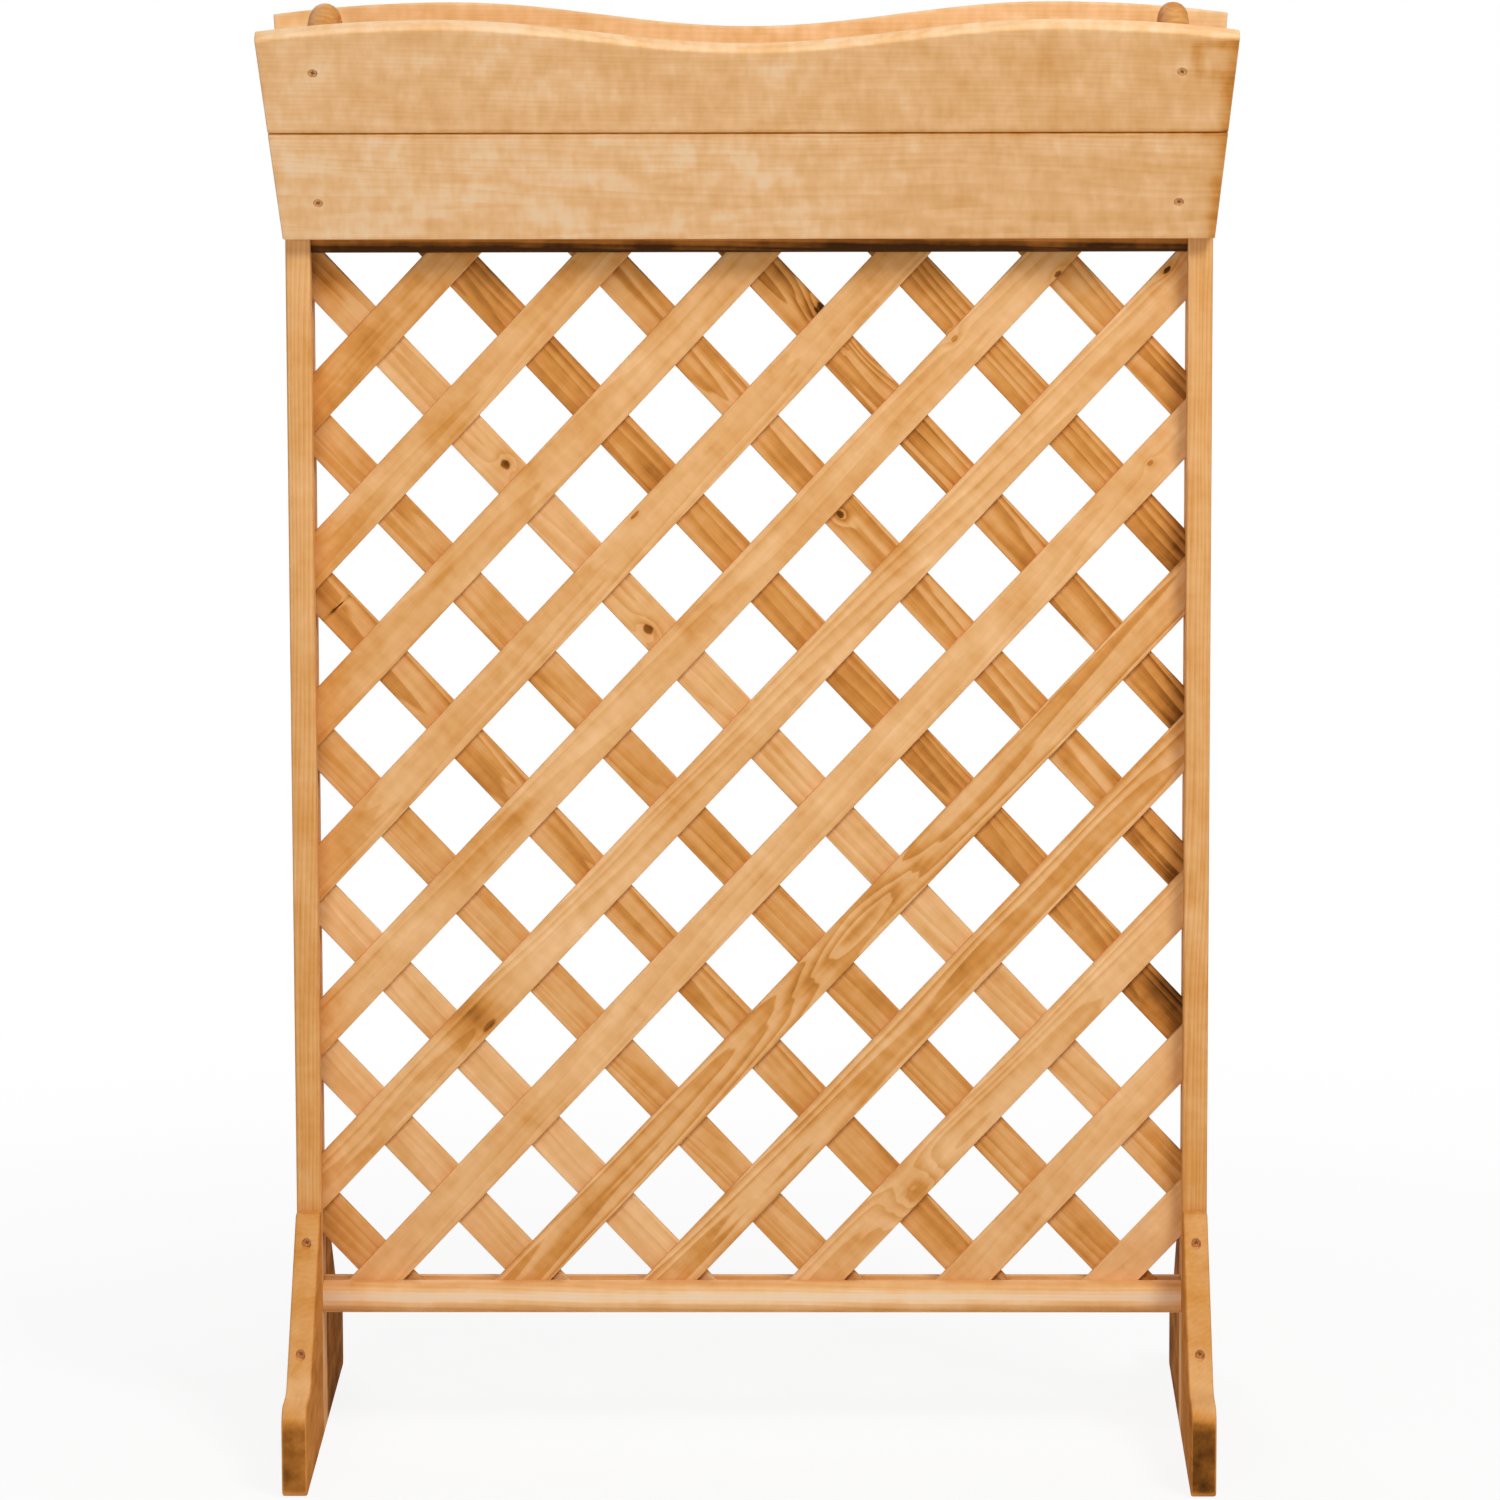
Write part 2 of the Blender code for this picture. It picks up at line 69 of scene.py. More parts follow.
def rounded_outline(corners, radii, spacing):
    """A closed outline, drawn anticlockwise, whose corners are arcs.

    An arc of radius r touches both sides of its corner at r * tan(turn / 2) from it, and its centre
    lies r away from both. Straight stretches are cut into equal parts of about one spacing.
    Returns the points and the direction that faces out at each of them.
    """
    corners = np.asarray(corners, float)
    leave = unit(np.roll(corners, -1, axis=0) - corners)
    arrive = np.roll(leave, 1, axis=0)
    cross = arrive[:, 0] * leave[:, 1] - arrive[:, 1] * leave[:, 0]
    turns = np.arctan2(cross, (arrive * leave).sum(axis=1))
    arcs = []
    for corner, way, turn, radius in zip(corners, arrive, turns, radii):
        share = np.linspace(0, 1, ARC_PARTS + 1) if radius else np.array([0.5])
        heading = math.atan2(-way[0], way[1]) + share * turn
        out = np.stack([np.cos(heading), np.sin(heading)], axis=1)
        bulge = math.copysign(radius, turn)
        touch = corner - way * radius * abs(math.tan(turn / 2))
        centre = touch - bulge * np.array([way[1], -way[0]])
        mitre = 1 if radius else 1 / math.cos(turn / 2)
        arcs.append((centre + bulge * out, out * mitre))
    points, facing = [], []
    for index, (spots, out) in enumerate(arcs):
        target = arcs[(index + 1) % len(arcs)][0][0]
        parts = max(1, round(math.dist(spots[-1], target) / spacing))
        share = np.linspace(0, 1, parts + 1)[1:-1, None]
        side = np.array([leave[index][1], -leave[index][0]])
        points += [spots, spots[-1] + share * (target - spots[-1])]
        facing += [out, np.repeat(side[None], parts - 1, axis=0)]
    return np.concatenate(points), np.concatenate(facing)


def block_outline(width, depth, radius, spacing):
    """A rectangle centred on zero with four rounded corners."""
    x, y = width / 2, depth / 2
    return rounded_outline([(-x, -y), (x, -y), (x, y), (-x, y)], [radius] * 4, spacing)


# %% [markdown]
# ## From outline to board
# Carrying the outline from one end of the piece to the other gives a grid of points: one direction
# runs round the outline, the other along the board. Near the ends the outline is drawn in along a
# quarter circle, which eases the end's edges too. Whole arrays are worked out at once, so a board
# with thousands of corners takes no loop.

# %% Rows along a piece
def rows_along(length, ease, spacing):
    """Places of the rows along a piece, and how far each row is drawn in.

    At an angle a of the quarter circle a row lies ease * (1 - cos a) from the end and is drawn in by
    ease * (1 - sin a).
    """
    parts = max(2, round((length - 2 * ease) / spacing))
    if not ease:
        return np.linspace(0, length, parts + 1), np.zeros(parts + 1)
    quarter = np.linspace(0, math.pi / 2, ARC_PARTS + 1)
    start = ease * (1 - np.cos(quarter))
    drawn = ease * (1 - np.sin(quarter))
    middle = np.linspace(ease, length - ease, parts + 1)[1:-1]
    rows = np.concatenate([start, middle, length - start[::-1]])
    return rows, np.concatenate([drawn, 0 * middle, drawn[::-1]])


def carry(outline, rows, drawn):
    """The outline at every row: arrays of row place, first and second outline coordinate."""
    points, facing = outline
    flat = points[None] - drawn[:, None, None] * facing[None]
    along = np.broadcast_to(rows[:, None], flat.shape[:2])
    return along, flat[..., 0], flat[..., 1]


# %% Mesh of a closed piece
MERGE = 1e-5
SHARP_ANGLE = math.radians(40)


def add_object(name, data):
    """A new object of the scene, at the origin."""
    made = bpy.data.objects.new(name, data)
    bpy.context.scene.collection.objects.link(made)
    return made


def corner_places(mesh):
    """Places of a mesh's corners, in rows of x, y and z."""
    places = np.empty(len(mesh.vertices) * 3, np.float32)
    mesh.vertices.foreach_get("co", places)
    return places.reshape(-1, 3)


def shade_eased(mesh):
    """Smooth the faces of up to four sides, keep the others flat, and sharpen edges above an angle."""
    sizes = np.empty(len(mesh.polygons), np.int32)
    mesh.polygons.foreach_get("loop_total", sizes)
    mesh.polygons.foreach_set("use_smooth", sizes <= 4)
    mesh.set_sharp_from_angle(angle=SHARP_ANGLE)


def closed_piece(name, grid):
    """A closed mesh: each row of the grid is a ring round the piece, and a flat face closes each end.

    Doubled corners are merged. A negative volume means that the faces look inwards, and turns all
    of them over.
    """
    rows, around = grid.shape[:2]
    corner = np.arange(rows * around).reshape(rows, around)
    after = np.roll(corner, -1, axis=1)
    walls = np.stack([corner[:-1], after[:-1], after[1:], corner[1:]], axis=-1).reshape(-1, 4)
    mesh = bpy.data.meshes.new(name)
    ends = [corner[0, ::-1].tolist(), corner[-1].tolist()]
    mesh.from_pydata(grid.reshape(-1, 3), [], walls.tolist() + ends)
    shell = bmesh.new()
    shell.from_mesh(mesh)
    bmesh.ops.remove_doubles(shell, verts=shell.verts, dist=MERGE)
    if shell.calc_volume(signed=True) < 0:
        bmesh.ops.reverse_faces(shell, faces=shell.faces)
    shell.to_mesh(mesh)
    shell.free()
    shade_eased(mesh)
    return add_object(name, mesh)


def timber_piece(node, x, y, z):
    """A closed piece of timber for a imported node, from the three coordinates of its grid."""
    return closed_piece("timber_" + node, np.stack([x, y, z], axis=-1))


# %% [markdown]
# ## Which part of the tree a board comes from
# Grain isn't a picture on the surface: it is the year rings of a trunk, cut open. If every corner of
# a board knows where it lay in the trunk, one material can draw rings, streaks and end grain on
# all faces of all boards, and no two boards look alike. The place is stored as an attribute, with x
# along the trunk and y and z across it, measured from the pith. Because it is a linear function of
# position, it is exact even on large faces.
# Knots are stored the same way, as the offset from the nearest knot in units of its own radii.

# %% Timber coordinates and marks
FAR_AWAY = 9.0
KNOT_REACH = 6.0
END_GRAIN_FROM = 0.8
HALO_REACH = 0.0075
HALO_SHADE = -0.05


def store(mesh, name, values, domain="POINT"):
    """Store a number, or a row of three, for each vertex or face corner."""
    kind, field = ("FLOAT_VECTOR", "vector") if np.ndim(values) == 2 else ("FLOAT", "value")
    attribute = mesh.attributes.new(name, kind, domain)
    attribute.data.foreach_set(field, np.ascontiguousarray(values, np.float32).ravel())


def mark_timber(piece, origin, along, across, log, tone, figure,
                knots=(), smudges=(), heads=(), tint=None):
    """Write where each corner lies in the trunk, which knot is nearest, and how the stain took.

    A corner's own coordinates are its offset from the origin along the grain, across it and
    through the board; adding the log's place gives the timber coordinates. Tone is the depth of
    the stain, and figure the strength of the rings. A knot is (along, across, radius along, radius
    across, lift of the rings, darkness), and a smudge is (along, across, radius along, radius
    across, strength) with a bell-shaped fall-off. Round each screw head the wood is paler, and a
    tint is a function of the own coordinates that adds more shade; on most pieces this is painted
    shade and painted highlight.
    """
    mesh = piece.data
    spots = corner_places(mesh)
    own = (spots - np.array(origin)) @ np.stack([along, across, np.cross(along, across)], axis=1)
    store(mesh, "timber", own + np.array(log))
    nearest = np.full((len(own), 3), FAR_AWAY)
    lift = np.zeros(len(own))
    if knots:
        table = np.array(knots)
        offset = (own[:, None, :2] - table[:, :2]) / table[:, 2:4]
        best = np.argmin((offset ** 2).sum(axis=2), axis=1)
        nearest[:, :2] = offset[np.arange(len(own)), best]
        within = (nearest[:, :2] ** 2).sum(axis=1) < KNOT_REACH ** 2
        lift, nearest[:, 2] = table[best, 4:].T * within
    store(mesh, "knot", nearest)
    store(mesh, "lift", lift)
    shade = np.zeros(len(own)) if tint is None else tint(own)
    for head in heads:
        shade += HALO_SHADE * np.exp(-((spots - head) ** 2).sum(axis=1) / HALO_REACH ** 2)
    for spot_along, spot_across, reach_along, reach_across, strength in smudges:
        bell = ((own[:, 0] - spot_along) / reach_along) ** 2
        bell += ((own[:, 1] - spot_across) / reach_across) ** 2
        shade += strength * np.exp(-bell)
    corner_vertex = np.empty(len(mesh.loops), np.int32)
    mesh.loops.foreach_get("vertex_index", corner_vertex)
    normals = np.empty(len(mesh.loops) * 3, np.float32)
    mesh.corner_normals.foreach_get("vector", normals)
    end = np.abs(normals.reshape(-1, 3) @ along)
    end = np.clip((end - END_GRAIN_FROM) / (1 - END_GRAIN_FROM), 0, 1)
    # The depth written here also holds the painted shade and painted highlights of the tint
    stain = tone + shade[corner_vertex]
    store(mesh, "look", np.stack([stain, np.full(len(stain), figure), end], axis=1), "CORNER")


# %% [markdown]
# ## Honey stain on pine
# The wood was dipped in a thin brown-orange stain and sealed with a satin lacquer. Where the wood
# drinks more, in late wood, end grain and round knots, it turns deeper in colour, and it always runs
# through the same hues: straw, honey, amber, chestnut. So the material works out one number, the
# depth of the stain, and a single colour ramp turns it into a colour. Every ingredient is a plain
# sum: year rings, fibres, clouds and marks.
# The alternative, a separate set of colours for every board, would never look like one can of stain.

# %% Small helpers for shader nodes
def fill(tree, node, *sources):
    """Fill inputs of a shader node. A source fills the input of its place, or one named in a pair."""
    for place, source in enumerate(sources):
        key, source = source if isinstance(source, tuple) else (place, source)
        if isinstance(source, bpy.types.NodeSocket):
            tree.links.new(source, node.inputs[key])
        else:
            node.inputs[key].default_value = source


def put(tree, kind, *sources, **settings):
    """Add a shader node with its settings, and fill its inputs."""
    made = tree.nodes.new("ShaderNode" + kind)
    for key, value in settings.items():
        setattr(made, key, value)
    fill(tree, made, *sources)
    return made


def calc(tree, operation, *sources):
    """Result of one operation on sockets and numbers."""
    return put(tree, "Math", *sources, operation=operation).outputs[0]


def shift(tree, operation, *sources):
    """Result of one operation on places. A fixed place is a pair: the number of its input, its value."""
    return put(tree, "VectorMath", *sources, operation=operation).outputs[0]


def distance(tree, place):
    """How far a place lies from zero."""
    return put(tree, "VectorMath", place, operation="LENGTH").outputs["Value"]


def stored(tree, name, output="Vector"):
    """What the mesh stores under a name."""
    return put(tree, "Attribute", attribute_name=name).outputs[output]


def sum_of(tree, *terms):
    """Add up sockets, each given with its weight."""
    total = None
    for socket, weight in terms:
        part = calc(tree, "MULTIPLY", socket, weight)
        total = part if total is None else calc(tree, "ADD", total, part)
    return total


def fade(tree, socket, start, end, low=0.0, high=1.0):
    """Smooth step of a socket: low before start, high after end."""
    return put(tree, "MapRange", ("Value", socket), ("From Min", start), ("From Max", end),
               ("To Min", low), ("To Max", high), interpolation_type="SMOOTHSTEP").outputs[0]


def coloured(tree, depth, stops):
    """Colour for a depth, blended between stops of position and colour."""
    ramp = put(tree, "ValToRGB", depth)
    elements = ramp.color_ramp.elements
    while len(elements) < len(stops):
        elements.new(0.5)
    for element, (position, colour) in zip(elements, stops):
        element.position = position
        element.color = (*colour, 1.0)
    return ramp.outputs[0]


def new_finish(name):
    """A new material, its node tree and its shader."""
    material = bpy.data.materials.new(name)
    material.use_nodes = True
    return material, material.node_tree, material.node_tree.nodes["Principled BSDF"]


# %% Noise in the wood
# Features for each metre along the grain and across it, then detail and roughness
NOISES = {
    "wander": (2.2, 16.0, 2.0, 0.5),
    "uneven": (0.0, 55.0, 1.0, 0.5),
    "fray": (260.0, 260.0, 2.0, 0.5),
    "fibre": (26.0, 1100.0, 2.0, 0.5),
    "streak": (5.0, 190.0, 3.0, 0.5),
    "cloud": (16.0, 34.0, 3.0, 0.55),
    "curl": (85.0, 38.0, 2.0, 0.5),
}


def noise(tree, place, name, output=0):
    """Noise of the timber place, squeezed along each axis so that it runs as the grain does."""
    along, across, detail, roughness = NOISES[name]
    squeezed = shift(tree, "MULTIPLY", place, (1, (along, across, across)))
    return put(tree, "TexNoise", ("Vector", squeezed), ("Scale", 1.0), ("Detail", detail),
               ("Roughness", roughness)).outputs[output]


# %% The stained pine material
STAIN_COLOURS = (
    (0.00, (0.91, 0.68, 0.47)),
    (0.11, (0.93, 0.64, 0.375)),
    (0.22, (0.89, 0.535, 0.26)),
    (0.40, (0.78, 0.42, 0.165)),
    (0.58, (0.67, 0.295, 0.072)),
    (0.74, (0.50, 0.19, 0.036)),
    (0.88, (0.24, 0.085, 0.014)),
    (1.00, (0.060, 0.022, 0.005)),
)
RING_SPACING = 0.0042
RING_UNEVEN = 2.6
TRUNK_TAPER = 0.014
WANDER = 0.018
EARLY_WOOD = (0.15, 0.86)
LATE_WOOD = (0.90, 0.99)
KNOT_FRAY = 0.5
KNOT_PULL = -0.22
KNOT_CORE = (1.25, 0.85)
KNOT_HALO = (3.2, 1.1)
END_FIGURE = 0.3
BUMP_STRENGTH = 0.35
BUMP_DEPTH = 0.0006

# What each part of the wood adds to the depth of the stain, to the roughness and to the height
DEEPER = {"ring": 0.30, "cloud": 0.42, "streak": 0.22, "fibre": 0.16, "end": 0.30, "core": 0.42, "halo": 0.10}
ROUGHER = {"ring": -0.06, "fibre": 0.16, "cloud": 0.10}
ROUGHER_MEAN = 0.10
HIGHER = {"ring": 0.35, "fibre": 0.55, "streak": 0.35, "core": -0.5}


def stained_pine(name, roughness, sheen, blotch, fine):
    """Material for one record slot: year rings round the pith, fibres, clouds, knots and stain.

    Blotch is the share of the patches across the grain, which curly wood shows, and fine that of
    the fibres and streaks along it.
    """
    material, tree, shader = new_finish(name)
    place = stored(tree, "timber")
    tone, figure, end = put(tree, "SeparateXYZ", stored(tree, "look")).outputs
    knot_along, knot_across, darkness = put(tree, "SeparateXYZ", stored(tree, "knot")).outputs

    # The trunk wanders a little, so the rings bend: slow noise moves the place sideways
    sideways = shift(tree, "SUBTRACT", noise(tree, place, "wander", "Color"), (1, (0.5, 0.5, 0.5)))
    sideways = shift(tree, "MULTIPLY", sideways, (1, (0.0, WANDER, WANDER)))
    up_trunk, y, z = put(tree, "SeparateXYZ", shift(tree, "ADD", place, sideways)).outputs
    flat = put(tree, "CombineXYZ", 0.0, y, z).outputs[0]

    # Distance from the nearest knot, in its own radii, with a frayed rim
    from_knot = distance(tree, put(tree, "CombineXYZ", knot_along, knot_across, 0.0).outputs[0])
    frayed = sum_of(tree, (from_knot, 1.0), (noise(tree, place, "fray"), KNOT_FRAY))
    pull = calc(tree, "MULTIPLY", calc(tree, "MULTIPLY", from_knot, from_knot), KNOT_PULL)
    raised = calc(tree, "MULTIPLY", calc(tree, "POWER", math.e, pull), stored(tree, "lift", "Fac"))

    # Year rings: distance from the pith counted in rings, lifted round knots, thinner up the trunk
    count = sum_of(tree, (distance(tree, flat), 1 / RING_SPACING), (up_trunk, TRUNK_TAPER / RING_SPACING),
                   (raised, 1.0), (noise(tree, flat, "uneven"), RING_UNEVEN))
    ring = calc(tree, "FRACT", count)
    band = calc(tree, "SUBTRACT", fade(tree, ring, *EARLY_WOOD), fade(tree, ring, *LATE_WOOD))
    ringed = calc(tree, "MULTIPLY", band, figure)
    ringed = calc(tree, "MULTIPLY", ringed, fade(tree, end, 0.0, 1.0, 1.0, END_FIGURE))

    # The depth of the stain. Noise has a mean of a half, which is taken off again
    fibre, streak, cloud, curl = [noise(tree, place, kind) for kind in ("fibre", "streak", "cloud", "curl")]
    core = fade(tree, frayed, *KNOT_CORE)
    core_dark = calc(tree, "MULTIPLY", core, darkness)
    halo_dark = calc(tree, "MULTIPLY", fade(tree, frayed, *KNOT_HALO), darkness)
    stain = sum_of(tree, (tone, 1.0), (ringed, DEEPER["ring"]), (cloud, DEEPER["cloud"]), (curl, blotch),
                   (streak, DEEPER["streak"] * fine), (fibre, DEEPER["fibre"] * fine),
                   (end, DEEPER["end"]), (core_dark, DEEPER["core"]), (halo_dark, DEEPER["halo"]))
    mean = (DEEPER["cloud"] + blotch + (DEEPER["streak"] + DEEPER["fibre"]) * fine) / 2
    stain = calc(tree, "SUBTRACT", stain, mean)

    # Late wood is denser and shinier, open fibres are rougher
    rough = sum_of(tree, (band, ROUGHER["ring"]), (fibre, ROUGHER["fibre"]), (cloud, ROUGHER["cloud"]))
    rough = calc(tree, "ADD", rough, roughness - ROUGHER_MEAN)
    height = sum_of(tree, (ringed, HIGHER["ring"]), (fibre, HIGHER["fibre"]), (streak, HIGHER["streak"]),
                    (core, HIGHER["core"]))
    bump = put(tree, "Bump", ("Strength", BUMP_STRENGTH), ("Distance", BUMP_DEPTH), ("Height", height))
    fill(tree, shader, ("Base Color", coloured(tree, stain, STAIN_COLOURS)), ("Roughness", rough),
         ("Specular IOR Level", sheen), ("Normal", bump.outputs[0]))
    return material


# Roughness, sheen, share of the patches and share of the fibres, for each slot of the record
PINE_LOOKS = {
    "board_stain": (0.62, 0.02, 0.34, 0.55),
    "post_stain": (0.58, 0.05, 0.13, 0.85),
    "rail_stain": (0.55, 0.05, 0.13, 0.70),
    "slat_front_stain": (0.58, 0.05, 0.24, 0.60),
    "slat_back_stain": (0.58, 0.05, 0.16, 1.00),
    "foot_stain": (0.75, 0.01, 0.10, 0.40),
}
finishes = {}
for slot, looks in PINE_LOOKS.items():
    finishes[slot] = stained_pine("honey_pine_" + slot.removesuffix("_stain"), *looks)
print("stained pines:", [material.name for material in finishes.values()])

# %% [markdown]
# ## Setting a board in the frame
# Every new board stands for one imported node: it hides that node, rides on the same body and takes
# the node's slot in the record.

# %% Fit a piece to its node
ROOT = "root"


def fit_piece(piece, node, slot):
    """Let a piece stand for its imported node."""
    piece.data.materials.append(finishes[slot])
    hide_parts(node)
    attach(piece, ROOT)
    spots = corner_places(piece.data)


# %% A cut of timber
TRUNK_LENGTH = 40
SEED = 24
X_AXIS, Y_AXIS, Z_AXIS = np.eye(3)
draw = np.random.default_rng(SEED)


def sawn(pith, tone, figure):
    """A cut from a random place along a long trunk: the log's place, the tone and the figure.

    The pith is the board's offset from it, across and through the board.
    """
    return (draw.uniform(0, TRUNK_LENGTH), *pith), tone, figure


# %% [markdown]
# ## Posts
# The two posts are planed square and grooved on their inner faces, where the slats and the rails'
# tenons sit. The groove could be cut with a Boolean, but an outline with a notch in it does the
# same: above and below the lattice the notch's corners lie flat in the face, and two rows at one
# height make the groove's end wall.

# %% Posts with a stopped groove
POST_EASE = 0.0022
GROOVE_WIDTH = 0.0169
POST_GROOVE_DEPTH = 0.008
POST_ROWS = 0.012
POST_FOOT_SHADE = 0.10
POST_FOOT_FROM = 0.75
POST_CUT = ((0.030, 0.05), 0.41, 0.3)
SIDES = (("left", -1), ("right", 1))
JUMP = 2e-5
LONG_STEP = 0.008

rail_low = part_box("rail_bottom")[0].z
rail_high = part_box("rail_top")[1].z


def notched_outline(width, depth, radius, notch_width, notch_depth, spacing):
    """A rectangle with a notch in the middle of its upper side."""
    x, y, g = width / 2, depth / 2, notch_width / 2
    floor = y - notch_depth
    corners = [(-x, -y), (x, -y), (x, y), (g, y), (g, floor), (-g, floor), (-g, y), (-x, y)]
    radii = [radius, radius, radius, 0, 0, 0, 0, radius]
    return rounded_outline(corners, radii, spacing)


def make_post(side, sign):
    """One post: its notched outline lies in the plane of depth and thickness and is carried upwards."""
    node = "post_" + side
    low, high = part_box(node)
    thick, depth, tall = high - low
    outline = notched_outline(depth, thick, POST_EASE, GROOVE_WIDTH, POST_GROOVE_DEPTH, LONG_STEP)
    rows, drawn = rows_along(tall, POST_EASE, POST_ROWS)
    stops = [rail_low, rail_low + JUMP, rail_high - JUMP, rail_high]
    order = np.argsort(np.concatenate([rows, stops]), kind="stable")
    rows = np.concatenate([rows, stops])[order]
    drawn = np.concatenate([drawn, np.zeros(len(stops))])[order]
    z, across, through = carry(outline, rows, drawn)
    grooved = (z > rail_low + JUMP / 2) & (z < rail_high - JUMP / 2)
    in_notch = (np.abs(across) < GROOVE_WIDTH / 2 + MERGE) & (through > 0)
    face = thick / 2 - drawn[:, None]
    through = np.where(in_notch & ~grooved, face, through)
    post = timber_piece(node, (low.x + high.x) / 2 - sign * through, across, z)

    def deeper_low(own):
        """Deeper towards the floor, in proportion to the height below a level."""
        return POST_FOOT_SHADE * np.clip(1 - own[:, 0] / POST_FOOT_FROM, 0, 1)

    mark_timber(post, (sign * high.x, 0, 0), Z_AXIS, Y_AXIS, *sawn(*POST_CUT), tint=deeper_low)
    fit_piece(post, node, "post_stain")


for side, sign in SIDES:
    make_post(side, sign)

# %% [markdown]
# ## Rails
# The rails lie between the posts. Their long edges have a larger round, and a groove towards the
# lattice takes the slats' ends. A stub tenon at each end fits the post's groove: it is the same
# outline, clipped to a smaller rectangle.

# %% Rails with grooves and tenons
RAIL_ROUND = 0.009
RAIL_GROOVE_DEPTH = 0.012
TENON_SHOULDER = 0.002
SHOULDER_GAP = 0.0003
RAIL_ROWS = 0.012
RAIL_STEP = 0.003
# A painted highlight along the middle of the rails' rounded faces, and painted shade on the rest
RAIL_PAINTED_HIGHLIGHT = -0.44
RAIL_HIGHLIGHT_RISE = 0.002
RAIL_HIGHLIGHT_REACH = 0.0075
RAIL_PAINTED_SHADE = 0.18
# The top rail's deeper tone is painted shade under the trough, added to the shadow the lamps cast there
RAIL_CUTS = {"rail_bottom": ((0.02, 0.06), 0.24, 0.25), "rail_top": ((0.02, 0.06), 0.82, 0.25)}


def make_rail(node, groove_way):
    """One rail: groove_way is 1 when the groove is on top and -1 when it is underneath.

    Beyond its shoulders the outline is clipped to the tenon's rectangle.
    """
    low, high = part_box(node)
    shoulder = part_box("post_right")[0].x - SHOULDER_GAP
    depth, tall = high.y - low.y, high.z - low.z
    outline = notched_outline(depth, tall, RAIL_ROUND, GROOVE_WIDTH, RAIL_GROOVE_DEPTH, RAIL_STEP)
    between = np.linspace(-shoulder, shoulder, round(2 * shoulder / RAIL_ROWS))
    rows = np.concatenate([[low.x, -shoulder - JUMP], between, [shoulder + JUMP, high.x]])
    x, across, through = carry(outline, rows, 0 * rows)
    tenon = np.abs(x) > shoulder + JUMP / 2
    half = GROOVE_WIDTH / 2 - SHOULDER_GAP
    floor = -tall / 2 + TENON_SHOULDER
    roof = tall / 2 - RAIL_GROOVE_DEPTH - TENON_SHOULDER
    across = np.where(tenon, np.clip(across, -half, half), across)
    through = np.where(tenon, np.clip(through, floor, roof), through)
    rail = timber_piece(node, x, across, (low.z + high.z) / 2 + groove_way * through)

    def painted_rail_light(own):
        """Painted shade over the whole rail, and a painted highlight in a bell of the height just above the
        middle, which leaves the edges deepest.
        """
        rise = own[:, 2] - tall / 2 - RAIL_HIGHLIGHT_RISE
        return RAIL_PAINTED_SHADE + RAIL_PAINTED_HIGHLIGHT * np.exp(-(rise / RAIL_HIGHLIGHT_REACH) ** 2)

    mark_timber(rail, (0, 0, low.z), X_AXIS, Y_AXIS, *sawn(*RAIL_CUTS[node]), tint=painted_rail_light)
    fit_piece(rail, node, "rail_stain")


make_rail("rail_bottom", 1)
make_rail("rail_top", -1)

# %% [markdown]
# ## Lattice
# The slats are thin strips in two layers, crossed to a diamond grid and cut off where the frame's
# grooves end. A strip's fibres all run the same way, but each has its own length: it starts where it
# enters the field between the grooves and ends where it leaves it. Working out both places for
# every fibre gives the slanted and the cornered ends in one go, with no cutting.
# Slats differ most of all boards: some are pale and quiet, some are flat-sawn with bold arches.

# %% Grid of the lattice
SLAT_WIDTH = 0.039
SLAT_THICK = 0.008
SLAT_EASE = 0.0012
SLAT_ROWS = 0.0045
SLAT_STEP = 0.0045
SLAT_FEWEST_ROWS = 4
LAYER_GAP = 0.0003
GRID_PITCH_X = 0.144
GRID_PITCH_Z = 0.1533
GRID_DROP = 0.0055
GRID_TOP_NUMBER = 10

field_high = np.array([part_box("slat_front_06")[1].x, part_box("slat_front_12")[1].z])
field_low = np.array([-field_high[0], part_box("slat_front_01")[0].z])
grid_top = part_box("rail_top")[0].z - GRID_DROP

# %% Slats
# Each slat of a layer, from number 01 on: depth of its stain and strength of its grain
FRONT_SLATS = ((0.31, 0.25), (0.35, 0.2), (0.32, 0.5), (0.34, 0.8), (0.36, 0.8), (0.32, 0.25),
               (0.31, 0.45), (0.33, 0.35), (0.34, 0.35), (0.38, 0.3), (0.37, 0.3), (0.47, 0.2))
BACK_SLATS = ((0.51, 0.3), (0.32, 0.25), (0.27, 0.4), (0.44, 0.3), (0.46, 0.7), (0.49, 0.4),
              (0.33, 0.4), (0.56, 0.45), (0.42, 0.8), (0.47, 0.8), (0.50, 0.6), (0.39, 0.6))

# Knots of some slats: place across the planter and above the floor, radii, ring lift, darkness
SLAT_KNOTS = {
    "back_05": ((-0.3999, 0.8167, 0.0011, 0.012, 0.2, 1.0),),
    "back_07": ((-0.236, 0.9559, 0.0064, 0.0052, 1.4, 1.0),
                (-0.0988, 0.7949, 0.0068, 0.0056, 1.4, 1.0)),
    "back_09": ((0.0872, 0.9069, 0.005, 0.004, 1.5, 1.0),),
    "back_10": ((0.072, 1.103, 0.0135, 0.008, 2.0, 0.8),
                (0.1182, 1.0689, 0.016, 0.007, 2.0, 0.0)),
    "back_11": ((0.198, 1.0794, 0.0045, 0.0035, 1.2, 0.9),),
    "front_03": ((0.1619, 0.2396, 0.015, 0.012, 3.0, 0.3),),
    "front_05": ((0.1035, 0.505, 0.045, 0.0085, 4.0, 0.0),),
    "front_06": ((0.3858, 0.9576, 0.004, 0.003, 1.0, 0.6),),
    "front_07": ((-0.2556, 0.406, 0.01, 0.0036, 0.4, 0.45),
                 (0.401, 1.144, 0.006, 0.003, 1.0, 1.0)),
    "front_08": ((0.2962, 1.1402, 0.005, 0.003, 1.0, 0.8),
                 (0.1972, 1.0782, 0.005, 0.003, 1.0, 0.7)),
    "front_09": ((-0.1108, 0.9078, 0.007, 0.002, 0.5, 0.8),),
}
